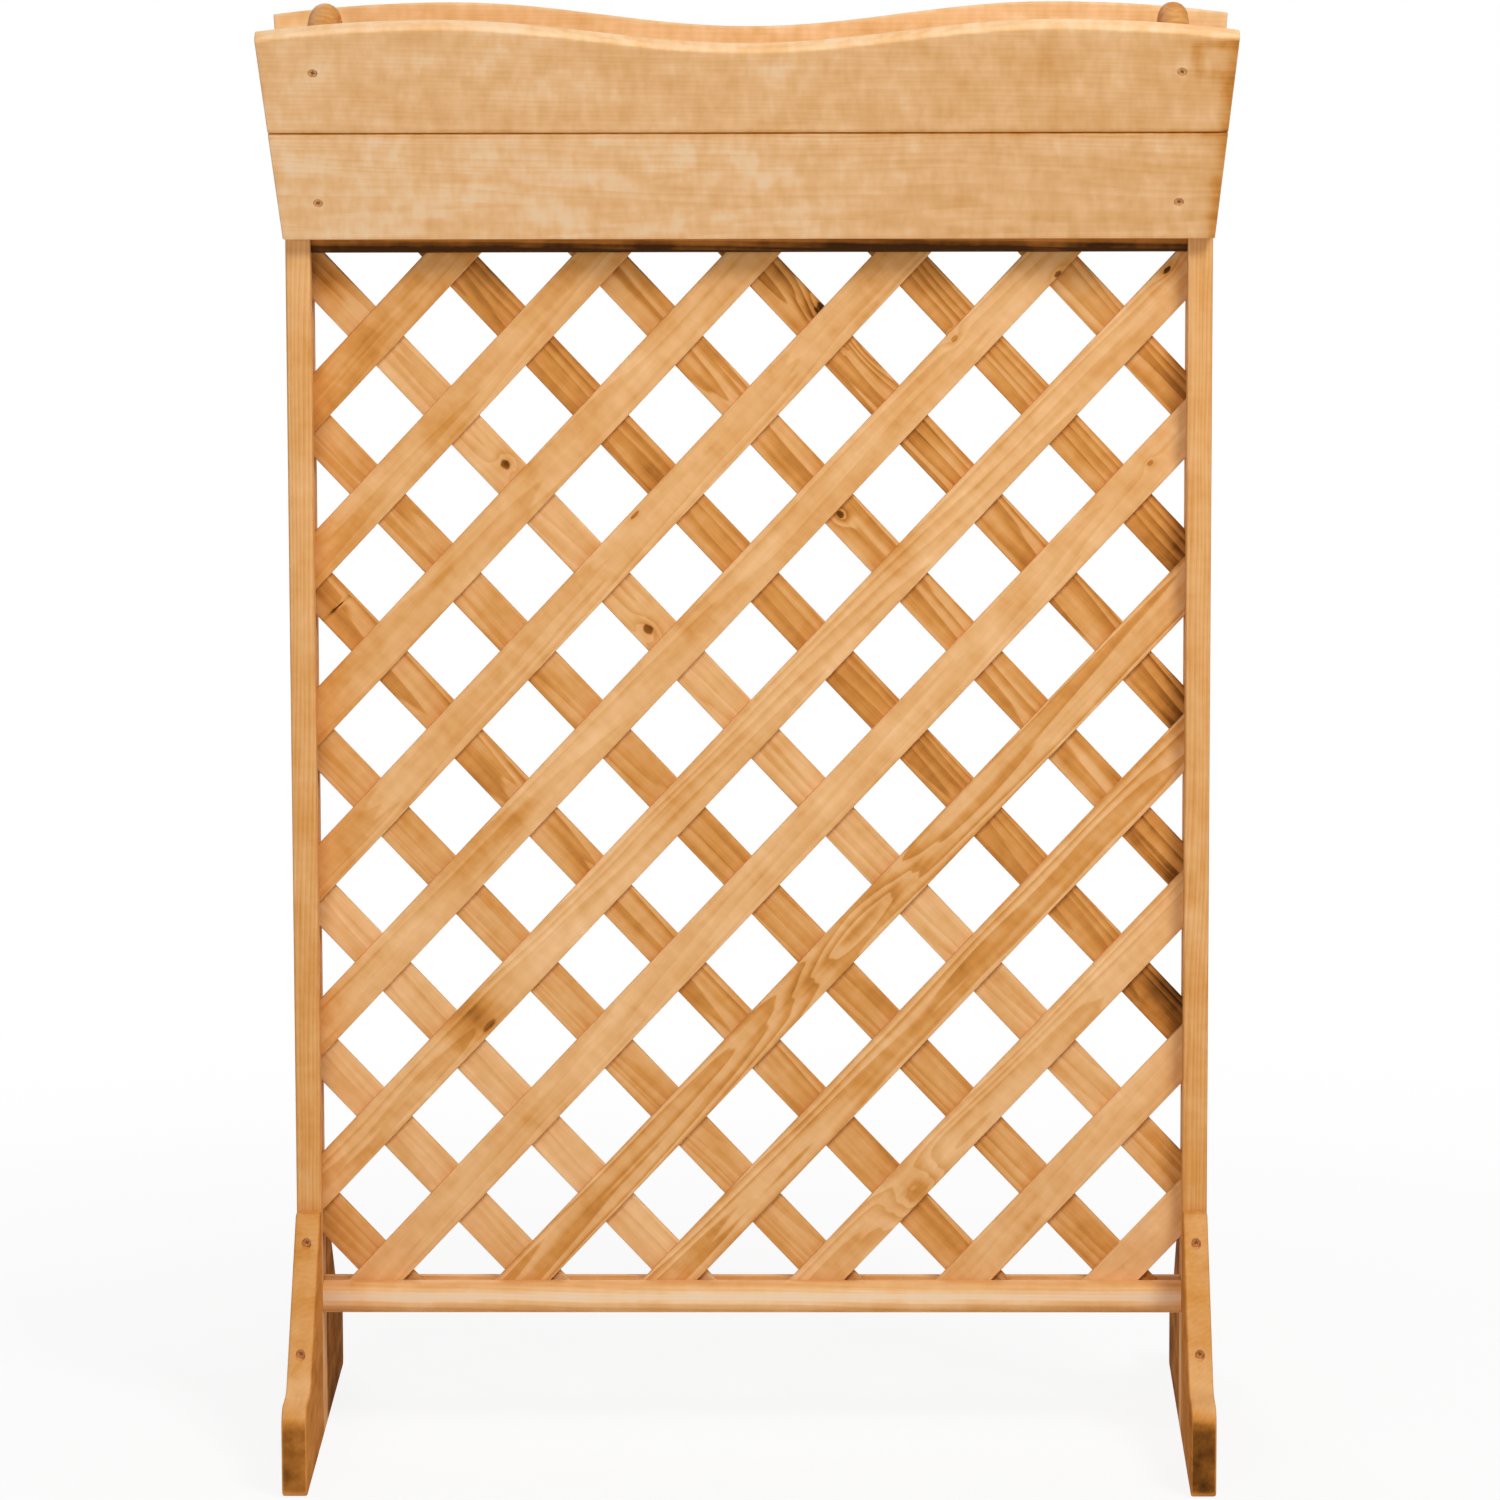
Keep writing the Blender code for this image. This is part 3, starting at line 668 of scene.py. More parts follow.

# Darker patches, and two paler ones, in the same way: place, radii, strength
SLAT_SMUDGES = {
    "back_07": ((-0.4061, 1.1358, 0.022, 0.015, 0.26),),
    "back_08": ((-0.0952, 0.9383, 0.018, 0.012, 0.16), (-0.1896, 1.065, 0.025, 0.018, 0.12),
                (-0.25, 1.1068, 0.02, 0.015, 0.12), (0.3986, 0.4363, 0.03, 0.02, 0.14)),
    "back_10": ((0.1634, 0.9894, 0.024, 0.015, 0.24), (0.065, 1.1, 0.03, 0.014, 0.12)),
    "front_04": ((0.2108, 0.4703, 0.025, 0.018, 0.1),),
    "front_05": ((0.05, 0.44, 0.06, 0.012, 0.1), (0.1435, 0.5494, 0.03, 0.018, 0.1)),
    "front_06": ((-0.2147, 0.3151, 0.02, 0.018, 0.15), (0.2617, 0.8238, 0.022, 0.012, 0.12),
                 (0.3476, 0.9335, 0.03, 0.018, 0.13)),
    "front_07": ((-0.269, 0.415, 0.032, 0.02, 0.44), (-0.2, 0.49, 0.04, 0.015, -0.08),
                 (-0.0702, 0.6235, 0.026, 0.016, 0.18), (0.1431, 0.8692, 0.024, 0.018, 0.14)),
    "front_08": ((-0.2277, 0.6068, 0.022, 0.012, 0.2), (-0.2805, 0.5595, 0.045, 0.02, 0.17),
                 (-0.05, 0.8, 0.03, 0.015, 0.1), (0.15, 0.98, 0.04, 0.015, -0.08)),
    "front_11": ((-0.3017, 0.9986, 0.022, 0.018, 0.12),),
    "front_12": ((-0.3585, 1.0726, 0.018, 0.015, 0.08),),
}

# Painted shadow of one post on the slat ends beside it, the left one in front and the right one behind,
# and painted shadow where the trough shades the slats' upper ends
POST_PAINTED_SHADOW = {"front": 0.14, "back": 0.19}
POST_SHADOW_FROM = 0.345
POST_SHADOW_LENGTH = 0.07
TROUGH_PAINTED_SHADOW = 0.13
TROUGH_SHADOW_LENGTH = 0.065

# The pith's offsets across and through: two slats are cut right beside its line, which gives arches
PITH_ACROSS = (-0.03, 0.03)
PITH_THROUGH = (0.03, 0.08)
SLAT_PITH = {"front_04": (0.003, 0.030), "front_05": (-0.004, 0.036)}


def make_slat(layer, number, slope, front_face, tone, figure):
    """One slat: a strip whose fibres run from where they enter the field to where they leave it."""
    own_name = f"{layer}_{number:02d}"
    node = "slat_" + own_name
    middle = np.array([0, grid_top + (number - GRID_TOP_NUMBER) * GRID_PITCH_Z])
    along = unit(np.array([GRID_PITCH_X, slope * GRID_PITCH_Z]))
    across = np.array([-along[1], along[0]])
    outline = block_outline(SLAT_WIDTH, SLAT_THICK, SLAT_EASE, SLAT_STEP)
    corners = np.array([[x, z] for x in (field_low[0], field_high[0]) for z in (field_low[1], field_high[1])])
    corner_across = (corners - middle) @ across
    low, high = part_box(node)
    length = math.hypot(high.x - low.x, high.z - low.z)
    share = np.linspace(0, 1, max(SLAT_FEWEST_ROWS, round(length / SLAT_ROWS)) + 1)
    share, t, through = carry(outline, share, 0 * share)
    t = np.clip(t, corner_across.min(), corner_across.max())
    start_point = middle + t[..., None] * across
    to_low = (field_low - start_point) / along
    to_high = (field_high - start_point) / along
    enter = np.minimum(to_low, to_high).max(axis=-1)
    leave = np.maximum(to_low, to_high).min(axis=-1)
    s = enter + share * (leave - enter)
    spot = start_point + s[..., None] * along
    slat = timber_piece(node, spot[..., 0], front_face + SLAT_THICK / 2 + through, spot[..., 1])

    def on_slat(marks):
        """The marks, with their places turned into own coordinates along and across the slat."""
        return [(*((x, z) - middle) @ np.stack([along, across], axis=1), *rest) for x, z, *rest in marks]

    def painted_shadows(own):
        """Painted shadow beyond a line near one post and under the trough, in proportion to the distance."""
        sideways = -slope * (own[:, 0] * along[0] + own[:, 1] * across[0])
        height = middle[1] + own[:, 0] * along[1] + own[:, 1] * across[1]
        post_shadow = POST_PAINTED_SHADOW[layer] * np.clip((sideways - POST_SHADOW_FROM) / POST_SHADOW_LENGTH, 0, 1)
        return post_shadow + TROUGH_PAINTED_SHADOW * np.clip(1 - (field_high[1] - height) / TROUGH_SHADOW_LENGTH, 0, 1)

    pith = draw.uniform(*PITH_ACROSS), draw.uniform(*PITH_THROUGH)
    cut = sawn(SLAT_PITH.get(own_name, pith), tone, figure)
    knots, smudges = [on_slat(marks.get(own_name, ())) for marks in (SLAT_KNOTS, SLAT_SMUDGES)]
    origin, *axes = [np.insert(flat, 1, y) for flat, y in ((middle, front_face), (along, 0), (across, 0))]
    mark_timber(slat, origin, *axes, *cut, knots, smudges, tint=painted_shadows)
    fit_piece(slat, node, f"slat_{layer}_stain")


LAYERS = (
    ("front", 1, -SLAT_THICK - LAYER_GAP / 2, FRONT_SLATS),
    ("back", -1, LAYER_GAP / 2, BACK_SLATS),
)
for layer, slope, front_face, slats in LAYERS:
    for number, (tone, figure) in enumerate(slats, start=1):
        make_slat(layer, number, slope, front_face, tone, figure)

# %% [markdown]
# ## Screws and their holes
# Countersunk wood screws hold the trough's boards and the feet. A head can't just be pasted on a
# board: it sits in a drilled and countersunk hole, so the hole is cut for real. Both are turned
# shapes, a profile of radius and depth spun about the screw's axis. The cross recess is pressed
# into the head's rings by a formula. The screws went through the stain with the boards, which is
# why they look like dull brass.

# %% Turned shapes
HEAD_RADIUS = 0.0044
HEAD_HEIGHT = 0.0034
SHANK_RADIUS = 0.0021
HOLE_GAP = 0.0003
HOLE_OVERRUN = 0.020
HEAD_FLAT = 0.0001
PLACE_DIGITS = 5
HOLE_SIDES = 40


def turned(profile, head, inward, sides, start=0.0):
    """Rings of a profile of (radius, depth) pairs, spun about an axis that runs inward from the head.

    Also returns each point's own radius and angle, for shapes pressed into the rings.
    """
    side = unit(np.cross(inward, X_AXIS + Z_AXIS / 2))
    other = np.cross(inward, side)
    angle = start + np.linspace(0, 2 * math.pi, sides, endpoint=False)
    spoke = np.cos(angle)[:, None] * side + np.sin(angle)[:, None] * other
    radius, depth = np.array(profile, float).T
    rings = head + radius[:, None, None] * spoke[None] + depth[:, None, None] * inward
    return rings, radius[:, None], angle[None] - start


def packed_head(node, inward):
    """Middle of a packed screw's head and the screw's length: the head is its flat furthest out."""
    spots = corner_places(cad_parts[node].data)
    depth = spots @ inward
    edge = spots[depth < depth.min() + HEAD_FLAT]
    return np.unique(np.round(edge, PLACE_DIGITS), axis=0).mean(axis=0), depth.max() - depth.min()


def drill(piece, screws, inward):
    """Cut the countersunk holes of some screws into a piece, and keep the cut mesh."""
    wide, narrow = HEAD_RADIUS + HOLE_GAP, SHANK_RADIUS + HOLE_GAP
    for node in screws:
        head, length = packed_head(node, inward)
        profile = [(0, -HOLE_OVERRUN), (wide, -HOLE_OVERRUN), (wide, 0),
                   (narrow, HEAD_HEIGHT), (narrow, length), (0, length)]
        cutter = closed_piece("cutter", turned(profile, head, inward, HOLE_SIDES)[0])
        cut = piece.modifiers.new("hole", "BOOLEAN")
        cut.solver = "EXACT"
        cut.object = cutter
        bpy.context.view_layer.update()
        whole = piece.data
        evaluated = piece.evaluated_get(bpy.context.evaluated_depsgraph_get())
        piece.data = bpy.data.meshes.new_from_object(evaluated)
        piece.modifiers.clear()
        piece.data.name = whole.name
        bpy.data.meshes.remove(whole)
        bpy.data.objects.remove(cutter)
    shade_eased(piece.data)


# %% Stained steel
# The Mix node's colours, by number because their names repeat: two inputs and the output
MIX_FROM, MIX_TO, MIX_OUT = 6, 7, 2
STEEL_COLOURS = ((0.35, (0.52, 0.24, 0.07)), (0.65, (0.72, 0.38, 0.14)))
RECESS_COLOUR = (0.42, 0.18, 0.05, 1.0)
STEEL_METALLIC = 0.15
BLOTS_PER_METRE = 420.0
BLOT_DETAIL = 3.0
BLOT_EDGES = (0.3, 0.7)
STEEL_ROUGHNESS = (0.62, 0.42)
STEEL_BUMP = 0.3
STEEL_BUMP_DEPTH = 0.0001


def stained_steel():
    """Plated steel under a film of stain that varies in blots and has gathered in the recess."""
    material, tree, shader = new_finish("stained_steel")
    place = put(tree, "TexCoord").outputs["Object"]
    blot = put(tree, "TexNoise", ("Vector", place), ("Scale", BLOTS_PER_METRE), ("Detail", BLOT_DETAIL))
    blot = blot.outputs[0]
    tinted = put(tree, "Mix", stored(tree, "recess", "Fac"), (MIX_TO, RECESS_COLOUR),
                 (MIX_FROM, coloured(tree, blot, STEEL_COLOURS)), data_type="RGBA")
    rough = fade(tree, blot, *BLOT_EDGES, *STEEL_ROUGHNESS)
    bump = put(tree, "Bump", ("Strength", STEEL_BUMP), ("Distance", STEEL_BUMP_DEPTH), ("Height", blot))
    fill(tree, shader, ("Base Color", tinted.outputs[MIX_OUT]), ("Roughness", rough),
         ("Metallic", STEEL_METALLIC), ("Normal", bump.outputs[0]))
    return material


finishes["screw_steel"] = stained_steel()

# %% One screw
SCREW_SIDES = 64
HEAD_RINGS = 14
RIM_EASE = 0.0003
RECESS_REACH = 0.0020
RECESS_WIDTH = 0.0010
RECESS_DEPTH = 0.0016
RECESS_SOFT = 0.0003


def make_screw(node, inward):
    """A countersunk screw with a cross recess, turned to a stop at its own angle. Returns its head.

    The recess is deep where a point lies near one of two crossed lines: its smaller coordinate
    is under half the width, and its larger one under the reach.
    """
    head, length = packed_head(node, inward)
    disc = [(radius, 0) for radius in np.linspace(0, HEAD_RADIUS - RIM_EASE, HEAD_RINGS)]
    body = [(HEAD_RADIUS, RIM_EASE), (SHANK_RADIUS, HEAD_HEIGHT),
            (SHANK_RADIUS, length - 2 * SHANK_RADIUS), (0, length)]
    rings, radius, angle = turned(disc + body, head, inward, SCREW_SIDES, draw.uniform(0, math.pi))
    x, y = np.abs(radius * np.cos(angle)), np.abs(radius * np.sin(angle))
    inside = np.clip((RECESS_WIDTH / 2 + RECESS_SOFT - np.minimum(x, y)) / RECESS_SOFT, 0, 1)
    inside *= np.clip((RECESS_REACH - np.maximum(x, y)) / RECESS_SOFT, 0, 1)
    inside[len(disc):] = 0
    rings = rings + RECESS_DEPTH * inside[..., None] * inward
    screw = closed_piece("steel_" + node, rings)
    depth = (corner_places(screw.data) - head) @ inward
    store(screw.data, "recess", (depth > RECESS_SOFT) & (depth < RECESS_DEPTH + RECESS_SOFT))
    fit_piece(screw, node, "screw_steel")
    return head


def screw_down(piece, screws, inward):
    """Drill a piece for its screws and drive them in. Returns the middles of their heads."""
    inward = np.array(inward, float)
    drill(piece, screws, inward)
    return [make_screw(screw, inward) for screw in screws]


# %% [markdown]
# ## The trough's long walls
# Front and back are each two boards that lean outwards. The upper one has a scalloped rim: a dip in
# the middle and a hump on each side, with its edge rounded over by the router. A flat outline of
# the whole board would lose the round-over, so here the board's end section is carried across the
# planter and stretched to the rim's height at each place.

# %% Leaning boards
LEAN = math.radians(24)
BOARD_THICK = 0.018
BOARD_EASE = 0.0015
RIM_ROUND = 0.0045
BOARD_ROWS = 0.004
BOARD_STEP = 0.004
LOWER_HEIGHT = 0.114
UPPER_BASE = 0.1155
RIM_HEIGHT = 0.229
WAVE_DIP = 0.025
CORNER_DROP = 0.012
HUMP_SHARE = 0.626
# A painted highlight on the rim's round-over, and painted shade on the boards' inner faces
RIM_PAINTED_HIGHLIGHT = -0.10
RIM_HIGHLIGHT_FADE = 0.002
JOINT_SHADE = 0.26
JOINT_REACH = 0.0030
INNER_PAINTED_SHADE = 0.04
STRIP_SHADE = 0.36
STRIP_REACH = 0.011
WALLS = (("front", -1), ("back", 1))

# Each level: lower and upper edge along the slope, round of the upper edge, cut
WALL_LEVELS = {
    "lower": (0.0, LOWER_HEIGHT, BOARD_EASE, ((-0.03, 0.09), 0.17, 0.18)),
    "upper": (UPPER_BASE, RIM_HEIGHT, RIM_ROUND, ((-0.03, 0.09), 0.235, 0.12)),
}

# Deeper on the front: its right half, and a square frame under the rim's right end
WALL_SMUDGES = {
    "front_board_lower": ((0.32, 0.06, 0.26, 0.12, 0.12),),
    "front_board_upper": (
        (0.3, 0.16, 0.28, 0.1, 0.07),
        (0.4235, 0.193, 0.0055, 0.018, 0.3),
        (0.442, 0.209, 0.018, 0.006, 0.32),
        (0.441, 0.178, 0.018, 0.006, 0.14),
    ),
}

low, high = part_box("front_board_lower")
wall_foot_y = high.y - BOARD_THICK * math.cos(LEAN)
wall_foot_z = low.z
top_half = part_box("front_board_upper")[1].x
flare = (top_half - high.x) / (RIM_HEIGHT - CORNER_DROP - LOWER_HEIGHT)
hump_x = HUMP_SHARE * top_half


def board_half(height):
    """Half the width of the leaning wall at a height along its slope."""
    return top_half + flare * (height - RIM_HEIGHT + CORNER_DROP)


def rim(x):
    """Height of the scalloped rim: a cosine dip between the humps, a parabola down to the corners."""
    dip = WAVE_DIP * (1 + np.cos(np.pi * np.abs(x) / hump_x)) / 2
    drop = CORNER_DROP * ((np.abs(x) - hump_x) / (top_half - hump_x)) ** 2
    return RIM_HEIGHT - np.where(np.abs(x) < hump_x, dip, drop)


def board_outline(height, lower_round, upper_round, thick, spacing):
    """The end section of a board: its outer face on zero, its body behind it."""
    corners = [(0, -thick), (height, -thick), (height, 0), (0, 0)]
    return rounded_outline(corners, [lower_round, upper_round, upper_round, lower_round], spacing)


def lowered(height, tallest, upper_round, shrink):
    """Heights of a board whose top is lower by shrink, in proportion between its eased edges."""
    return height - shrink * np.clip((height - BOARD_EASE) / (tallest - BOARD_EASE - upper_round), 0, 1)


def make_wall_board(wall, way, level):
    """One board of a long wall, leaning out to the front (-1) or the back (1).

    Each section of the upper board is shortened to the rim's height.
    """
    node = f"{wall}_board_{level}"
    base, top, upper_round, cut = WALL_LEVELS[level]
    tallest = top - base
    outline = board_outline(tallest, BOARD_EASE, upper_round, BOARD_THICK, BOARD_STEP)
    rows, drawn = rows_along(2 * top_half, BOARD_EASE, BOARD_ROWS)
    along, height, out = carry(outline, rows, drawn)
    share = along / top_half - 1
    if level == "upper":
        height = lowered(height, tallest, upper_round, tallest - (rim(share * top_half) - base))
    height = height + base
    x = share * board_half(height)
    y = way * -(wall_foot_y - height * math.sin(LEAN) - out * math.cos(LEAN))
    z = wall_foot_z + height * math.cos(LEAN) - out * math.sin(LEAN)
    board = timber_piece(node, x, y, z)
    screws = [f"screw_board_{wall}_{side}_{level}" for side, _ in SIDES]
    heads = screw_down(board, screws, (0, -way * math.cos(LEAN), math.sin(LEAN)))
    origin = np.array([0, -way * wall_foot_y, wall_foot_z])
    up_slope = np.array([0, way * math.sin(LEAN), math.cos(LEAN)])
    joint = base if level == "upper" else top

    def painted_light_and_marks(own):
        """A painted highlight on the rim's round-over and painted shade on the inner face; deeper at the
        joint and along the right end.
        """
        above = np.clip((own[:, 1] - rim(own[:, 0]) + RIM_ROUND) / RIM_HIGHLIGHT_FADE, 0, 1)
        beside = np.clip(1 - np.abs(own[:, 1] - joint) / JOINT_REACH, 0, 1)
        inside = np.clip(np.abs(own[:, 2]) / BOARD_EASE - BOARD_THICK / BOARD_EASE + 2, 0, 1)
        outside = np.clip(1 - np.abs(own[:, 2]) / BOARD_EASE, 0, 1)
        strip = outside * np.exp(-((board_half(own[:, 1]) - own[:, 0]) / STRIP_REACH) ** 2)
        return RIM_PAINTED_HIGHLIGHT * above + JOINT_SHADE * beside + INNER_PAINTED_SHADE * inside + STRIP_SHADE * strip

    mark_timber(board, origin, X_AXIS, up_slope, *sawn(*cut), smudges=WALL_SMUDGES.get(node, ()),
                heads=heads, tint=painted_light_and_marks)
    fit_piece(board, node, "board_stain")


for wall, way in WALLS:
    for level in WALL_LEVELS:
        make_wall_board(wall, way, level)

# %% [markdown]
# ## The trough's ends and floor
# The end boards stand between the posts and close the trough. They are thicker, and their tops rise
# in a rounded hump that shows above the front wall. The floor board is bevelled to the leaning walls
# and lies on the top rail.

# %% End boards
END_HUMP_RISE = 0.024
END_TOP_FLAT = 0.0003
END_STEP = 0.006
END_CUT = ((0.02, 0.05), 0.56, 0.2)
LEVELS = ("lower", "upper")


def make_end(side, sign):
    """One end board: its thickness section is carried from the front wall to the back wall.

    From the middle, the top drops by a cosine to the height of its sides.
    """
    node = "end_board_" + side
    low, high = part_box(node)
    thick, tallest = high.x - low.x, high.z - low.z
    side_height = tallest - END_HUMP_RISE
    top_round = thick / 2 - END_TOP_FLAT
    outline = board_outline(tallest, BOARD_EASE, top_round, thick, END_STEP)
    rows, drawn = rows_along(2 * high.y, BOARD_EASE, END_STEP)
    along, height, out = carry(outline, rows, drawn)
    share = along / high.y - 1
    height = lowered(height, tallest, top_round, END_HUMP_RISE * (1 - np.cos(np.pi * share)) / 2)
    half = high.y + (np.minimum(height, side_height) - side_height) * math.tan(LEAN)
    end = timber_piece(node, high.x + out, share * half, low.z + height)
    heads = screw_down(end, [f"screw_end_{side}_{level}" for level in LEVELS], (sign, 0, 0))
    mark_timber(end, (high.x, 0, low.z), Y_AXIS, Z_AXIS, *sawn(*END_CUT), heads=heads)
    fit_piece(end, node, "board_stain")


for side, sign in SIDES:
    make_end(side, sign)

# %% Floor board
FLOOR_CUT = ((0.01, 0.07), 0.34, 0.5)

floor_low, floor_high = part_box("planter_floor")
floor_thick = floor_high.z - floor_low.z
floor_base = floor_high.y - floor_thick * math.tan(LEAN)
floor_corners = [(-floor_base, 0), (floor_base, 0),
                 (floor_high.y, floor_thick), (-floor_high.y, floor_thick)]
floor_outline = rounded_outline(floor_corners, [0] * 4, BOARD_STEP)
rows, drawn = rows_along(floor_high.x - floor_low.x, 0, BOARD_ROWS)
along, across, through = carry(floor_outline, rows, drawn)
trough_floor = timber_piece("planter_floor", floor_low.x + along, across, floor_low.z + through)
mark_timber(trough_floor, (0, 0, floor_low.z), X_AXIS, Y_AXIS, *sawn(*FLOOR_CUT))
fit_piece(trough_floor, "planter_floor", "board_stain")

# %% [markdown]
# ## Feet
# Each foot is a bracket cut from a board with its grain lying flat: a straight toe, a rounded knee
# and a long slope up the post. Seen from the front only end grain shows on the toe, which is why
# it looks so much darker. The profile's corners are arcs again, concave at the knee.

# %% Foot brackets
FOOT_STEP = 0.0145
FOOT_KNEE_Y = 0.172
FOOT_TOE_LENGTH = 0.068
FOOT_TOE_Z = 0.086
FOOT_TOE_ROUND = 0.022
FOOT_SOLE_ROUND = 0.008
FOOT_KNEE_ROUND = 0.040
FOOT_EASE = 0.0022
FOOT_SPACING = 0.005
# The back feet's deeper tone is painted shade, as they stand behind the lattice
FOOT_CUTS = {"front": ((-0.06, 0.04), 0.52, 0.08), "back": ((-0.06, 0.04), 0.64, 0.08)}
# Painted shade on the inner faces of all feet
FOOT_INNER_PAINTED_SHADE = 0.16
FOOT_INNER_REACH = 0.002
TOE_SHADE = 0.10
TOE_SHADE_LENGTH = 0.010
# A painted highlight on the knee's upward-facing curve
KNEE_PAINTED_HIGHLIGHT = -0.15
KNEE_HIGHLIGHT_REACH = 0.016


def make_foot(wall, way, side):
    """One bracket: its profile, drawn away from the post, is carried across its thickness."""
    node = f"foot_{wall}_{side}"
    low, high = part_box(node)
    post_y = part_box("post_" + side)[1].y
    reach = FOOT_KNEE_Y + FOOT_TOE_LENGTH
    gap = min(abs(low.y), abs(high.y)) - post_y
    corners = [(gap, 0), (reach, 0), (reach, FOOT_TOE_Z),
               (FOOT_KNEE_Y, FOOT_TOE_Z), (FOOT_STEP, high.z), (gap, high.z)]
    radii = [0, FOOT_SOLE_ROUND, FOOT_TOE_ROUND, FOOT_KNEE_ROUND, FOOT_EASE, 0]
    outline = rounded_outline(corners, radii, FOOT_SPACING)
    rows, drawn = rows_along(high.x - low.x, FOOT_EASE, FOOT_SPACING)
    x, away, z = carry(outline, rows, drawn)
    foot = timber_piece(node, low.x + x, way * (post_y + away), z)
    heads = screw_down(foot, [f"screw_foot_{wall}_{side}_{level}" for level in LEVELS], (0, -way, 0))
    inner_x = min(abs(low.x), abs(high.x))

    def painted_light_and_toe(own):
        """Painted shade on the face towards the middle and a painted highlight at the knee; deeper on the
        right-hand toe's end.
        """
        from_inner = np.abs(low.x + way * own[:, 2]) - inner_x
        toe = np.clip(1 - (reach - own[:, 0]) / TOE_SHADE_LENGTH, 0, 1) * (side == "right")
        knee = np.exp(-((own[:, 1] - FOOT_TOE_Z - KNEE_HIGHLIGHT_REACH / 2) / KNEE_HIGHLIGHT_REACH) ** 2)
        inside = np.clip(1 - from_inner / FOOT_INNER_REACH, 0, 1)
        return FOOT_INNER_PAINTED_SHADE * inside + TOE_SHADE * toe + KNEE_PAINTED_HIGHLIGHT * knee * (1 - inside)

    mark_timber(foot, (low.x, way * post_y, 0), way * Y_AXIS, Z_AXIS, *sawn(*FOOT_CUTS[wall]),
                heads=heads, tint=painted_light_and_toe)
    fit_piece(foot, node, "foot_stain")


for side, _ in SIDES:
    for wall, way in WALLS:
        make_foot(wall, way, side)

# %% [markdown]
# ## Floor, backdrop and light
# A product photograph of this kind has a pure white surround. The floor and the world turn white by
# the Light Path node, only for rays that come from the camera or from a reflection, and the floor
# keeps a share of real shading, so that the feet still throw a soft shadow.
# Four soft lamps at a plain level leave the stain's colours about as they are written.

# %% Floor
WHITE = (1.0, 1.0, 1.0, 1.0)
PAPER = (0.82, 0.82, 0.82, 1.0)
FLOOR_HALF = 60.0
FLOOR_DEPTH = 0.0005
SHADE_SHARE = 0.11
SHADE_NEAR = 0.5
SHADE_FAR = 2.2


def white_for_camera(tree):
    """A factor that is one for camera, glossy and transmission rays."""
    path = put(tree, "LightPath").outputs
    seen = calc(tree, "MAXIMUM", path["Is Camera Ray"], path["Is Glossy Ray"])
    return calc(tree, "MAXIMUM", seen, path["Is Transmission Ray"])


ground = bpy.data.materials.new("studio_floor")
ground.use_nodes = True
tree = ground.node_tree
tree.nodes.clear()
paper = put(tree, "BsdfDiffuse", ("Color", PAPER))
glow = put(tree, "Emission", ("Color", WHITE), ("Strength", 1.0))
from_middle = distance(tree, put(tree, "TexCoord").outputs["Object"])
unshaded = fade(tree, from_middle, SHADE_NEAR, SHADE_FAR, 1 - SHADE_SHARE, 1.0)
seen_white = calc(tree, "MULTIPLY", white_for_camera(tree), unshaded)
blend = put(tree, "MixShader", seen_white, paper.outputs[0], glow.outputs[0])
put(tree, "OutputMaterial", blend.outputs[0])

mesh = bpy.data.meshes.new("studio_floor")
square = [(-1, -1), (1, -1), (1, 1), (-1, 1)]
mesh.from_pydata([(FLOOR_HALF * x, FLOOR_HALF * y, -FLOOR_DEPTH) for x, y in square], [], [(0, 1, 2, 3)])
mesh.materials.append(ground)
floor = add_object("studio_floor", mesh)
print("floor:", 2 * FLOOR_HALF, "m wide")

# %% World
WORLD_LIGHT = 0.155

world = bpy.data.worlds.new("studio")
bpy.context.scene.world = world
world.use_nodes = True
tree = world.node_tree
tree.nodes.clear()
soft = put(tree, "Background", ("Color", WHITE), ("Strength", WORLD_LIGHT))
white = put(tree, "Background", ("Color", WHITE), ("Strength", 1.0))
blend = put(tree, "MixShader", white_for_camera(tree), soft.outputs[0], white.outputs[0])
put(tree, "OutputWorld", blend.outputs[0])
print("world light:", WORLD_LIGHT)

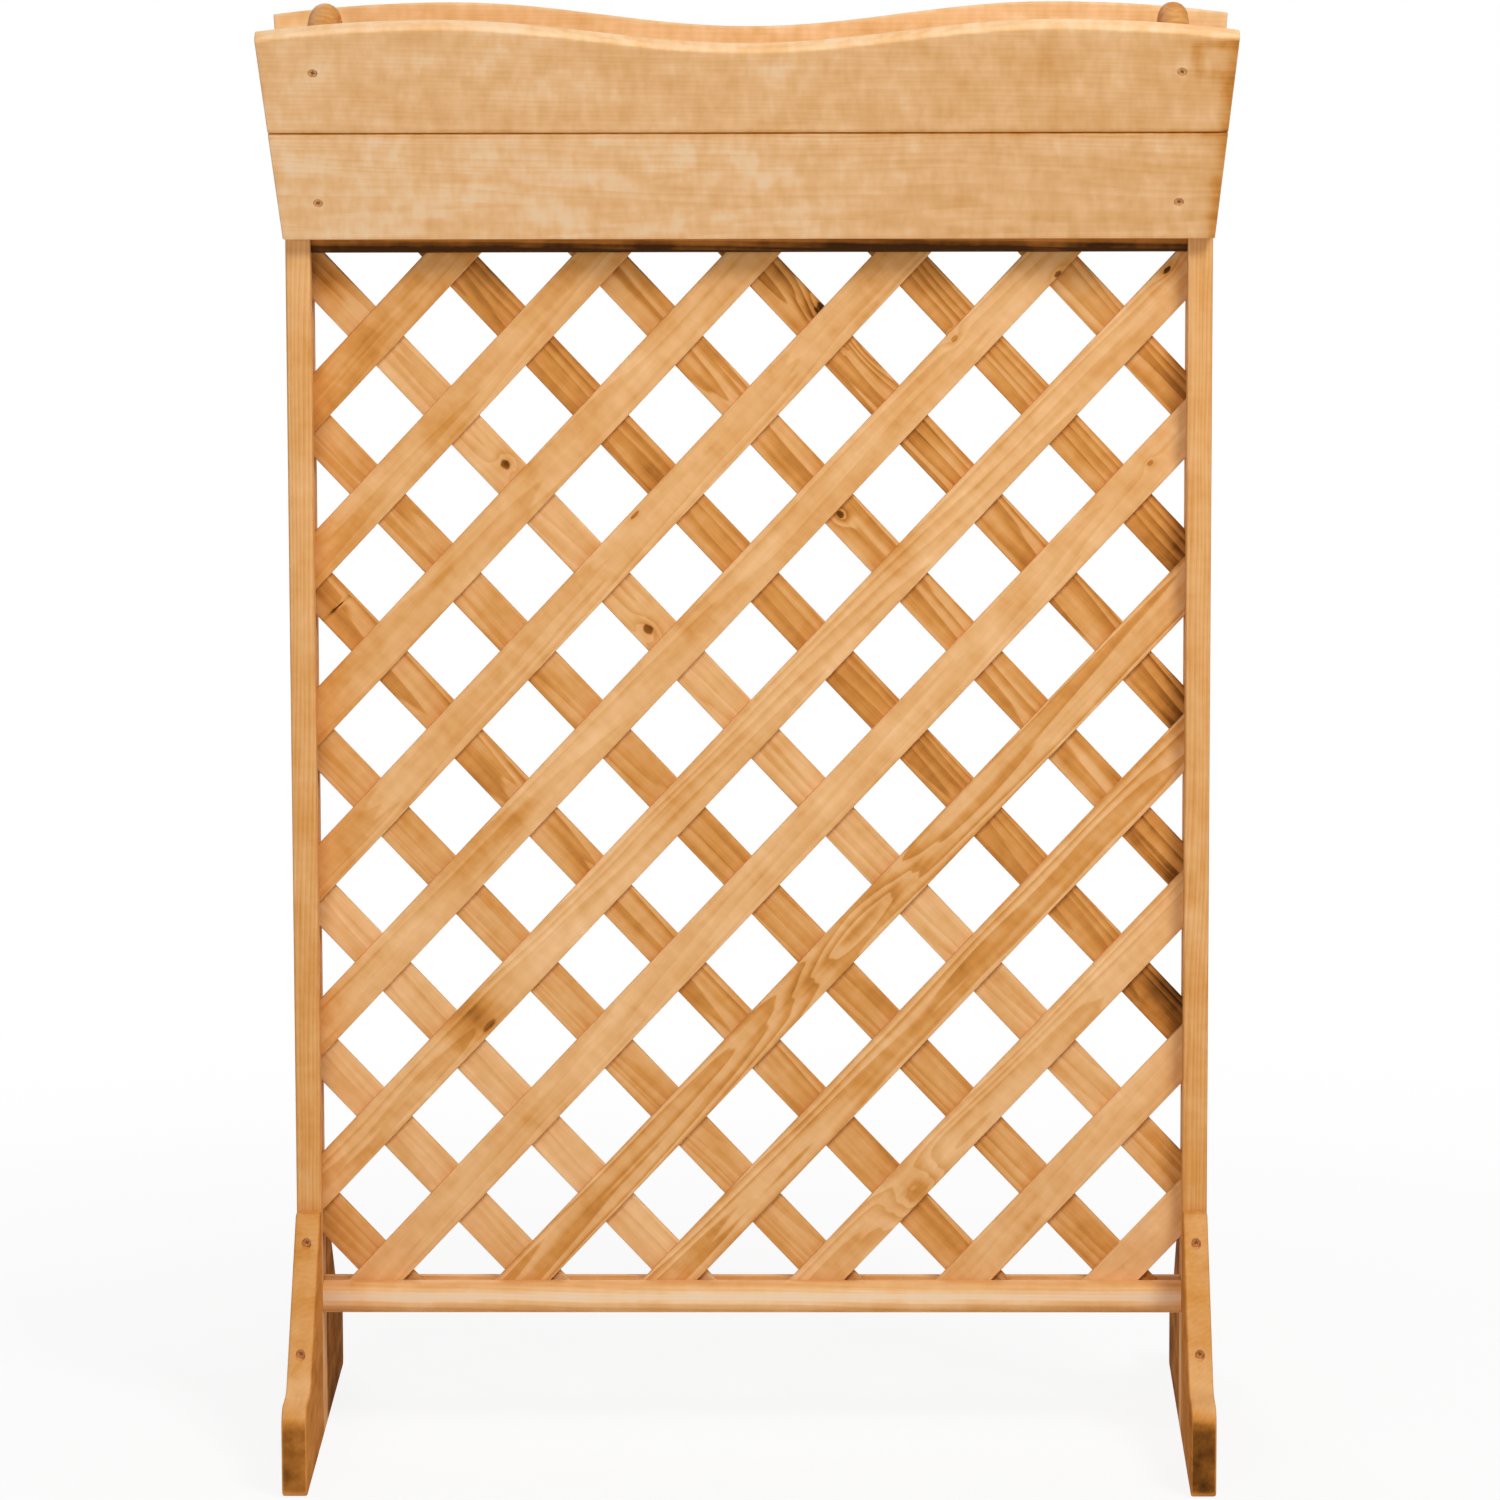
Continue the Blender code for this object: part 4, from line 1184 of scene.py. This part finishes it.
# %% Lamps
PLANTER_MIDDLE = (0.0, 0.0, 0.75)

# Name, place, side of the square and power in watts
LAMPS = (
    ("key", (2.0, -3.0, 4.3), 1.4, 150.0),
    ("top", (0.4, -1.7, 5.2), 1.2, 30.0),
    ("fill", (-2.0, -5.2, 1.6), 2.5, 67.0),
    ("rear", (-1.5, 4.5, 3.6), 2.2, 115.0),
)


def soft_lamp(name, place, size, power):
    """A square area lamp, tilted and turned to look at the planter's middle."""
    data = bpy.data.lights.new(name, "AREA")
    data.size = size
    data.energy = power
    lamp = add_object(name, data)
    look = np.array(PLANTER_MIDDLE) - np.array(place)
    tilt = math.atan2(math.hypot(look[0], look[1]), -look[2])
    lamp.location = place
    lamp.rotation_euler = (tilt, 0, math.atan2(-look[0], look[1]))
    print(f"{name} lamp: {power:.0f} W from {np.linalg.norm(look):.1f} m")


for lamp in LAMPS:
    soft_lamp(*lamp)

# %% [markdown]
# ## Camera
# The photograph was taken from a good seven metres away with a long lens, half a metre above the rim
# and looking slightly down. The camera is turned by a few tenths of a degree, as a hand-set tripod is.

# %% Camera
CAMERA_PLACE = (0.1045, -7.587, 1.8985)
PITCH = math.radians(9.1485)
YAW = math.radians(-0.7934)
ROLL = math.radians(-0.1619)
LENS = 190.09

ahead = np.array([math.sin(YAW) * math.cos(PITCH), math.cos(YAW) * math.cos(PITCH), -math.sin(PITCH)])
level = np.array([math.cos(YAW), -math.sin(YAW), 0.0])
up = np.cross(level, ahead)
right = level * math.cos(ROLL) + up * math.sin(ROLL)
above = up * math.cos(ROLL) - level * math.sin(ROLL)
camera_data = bpy.data.cameras.new("camera")
camera_data.lens = LENS
camera = add_object("camera", camera_data)
turn = np.eye(4)
turn[:3] = np.stack([right, above, -ahead, CAMERA_PLACE], axis=1)
camera.matrix_world = Matrix(turn)
bpy.context.scene.camera = camera
bpy.context.scene.view_settings.view_transform = "Standard"
print(f"camera: {np.linalg.norm(np.subtract(CAMERA_PLACE, PLANTER_MIDDLE)):.2f} m away, {LENS} mm lens")
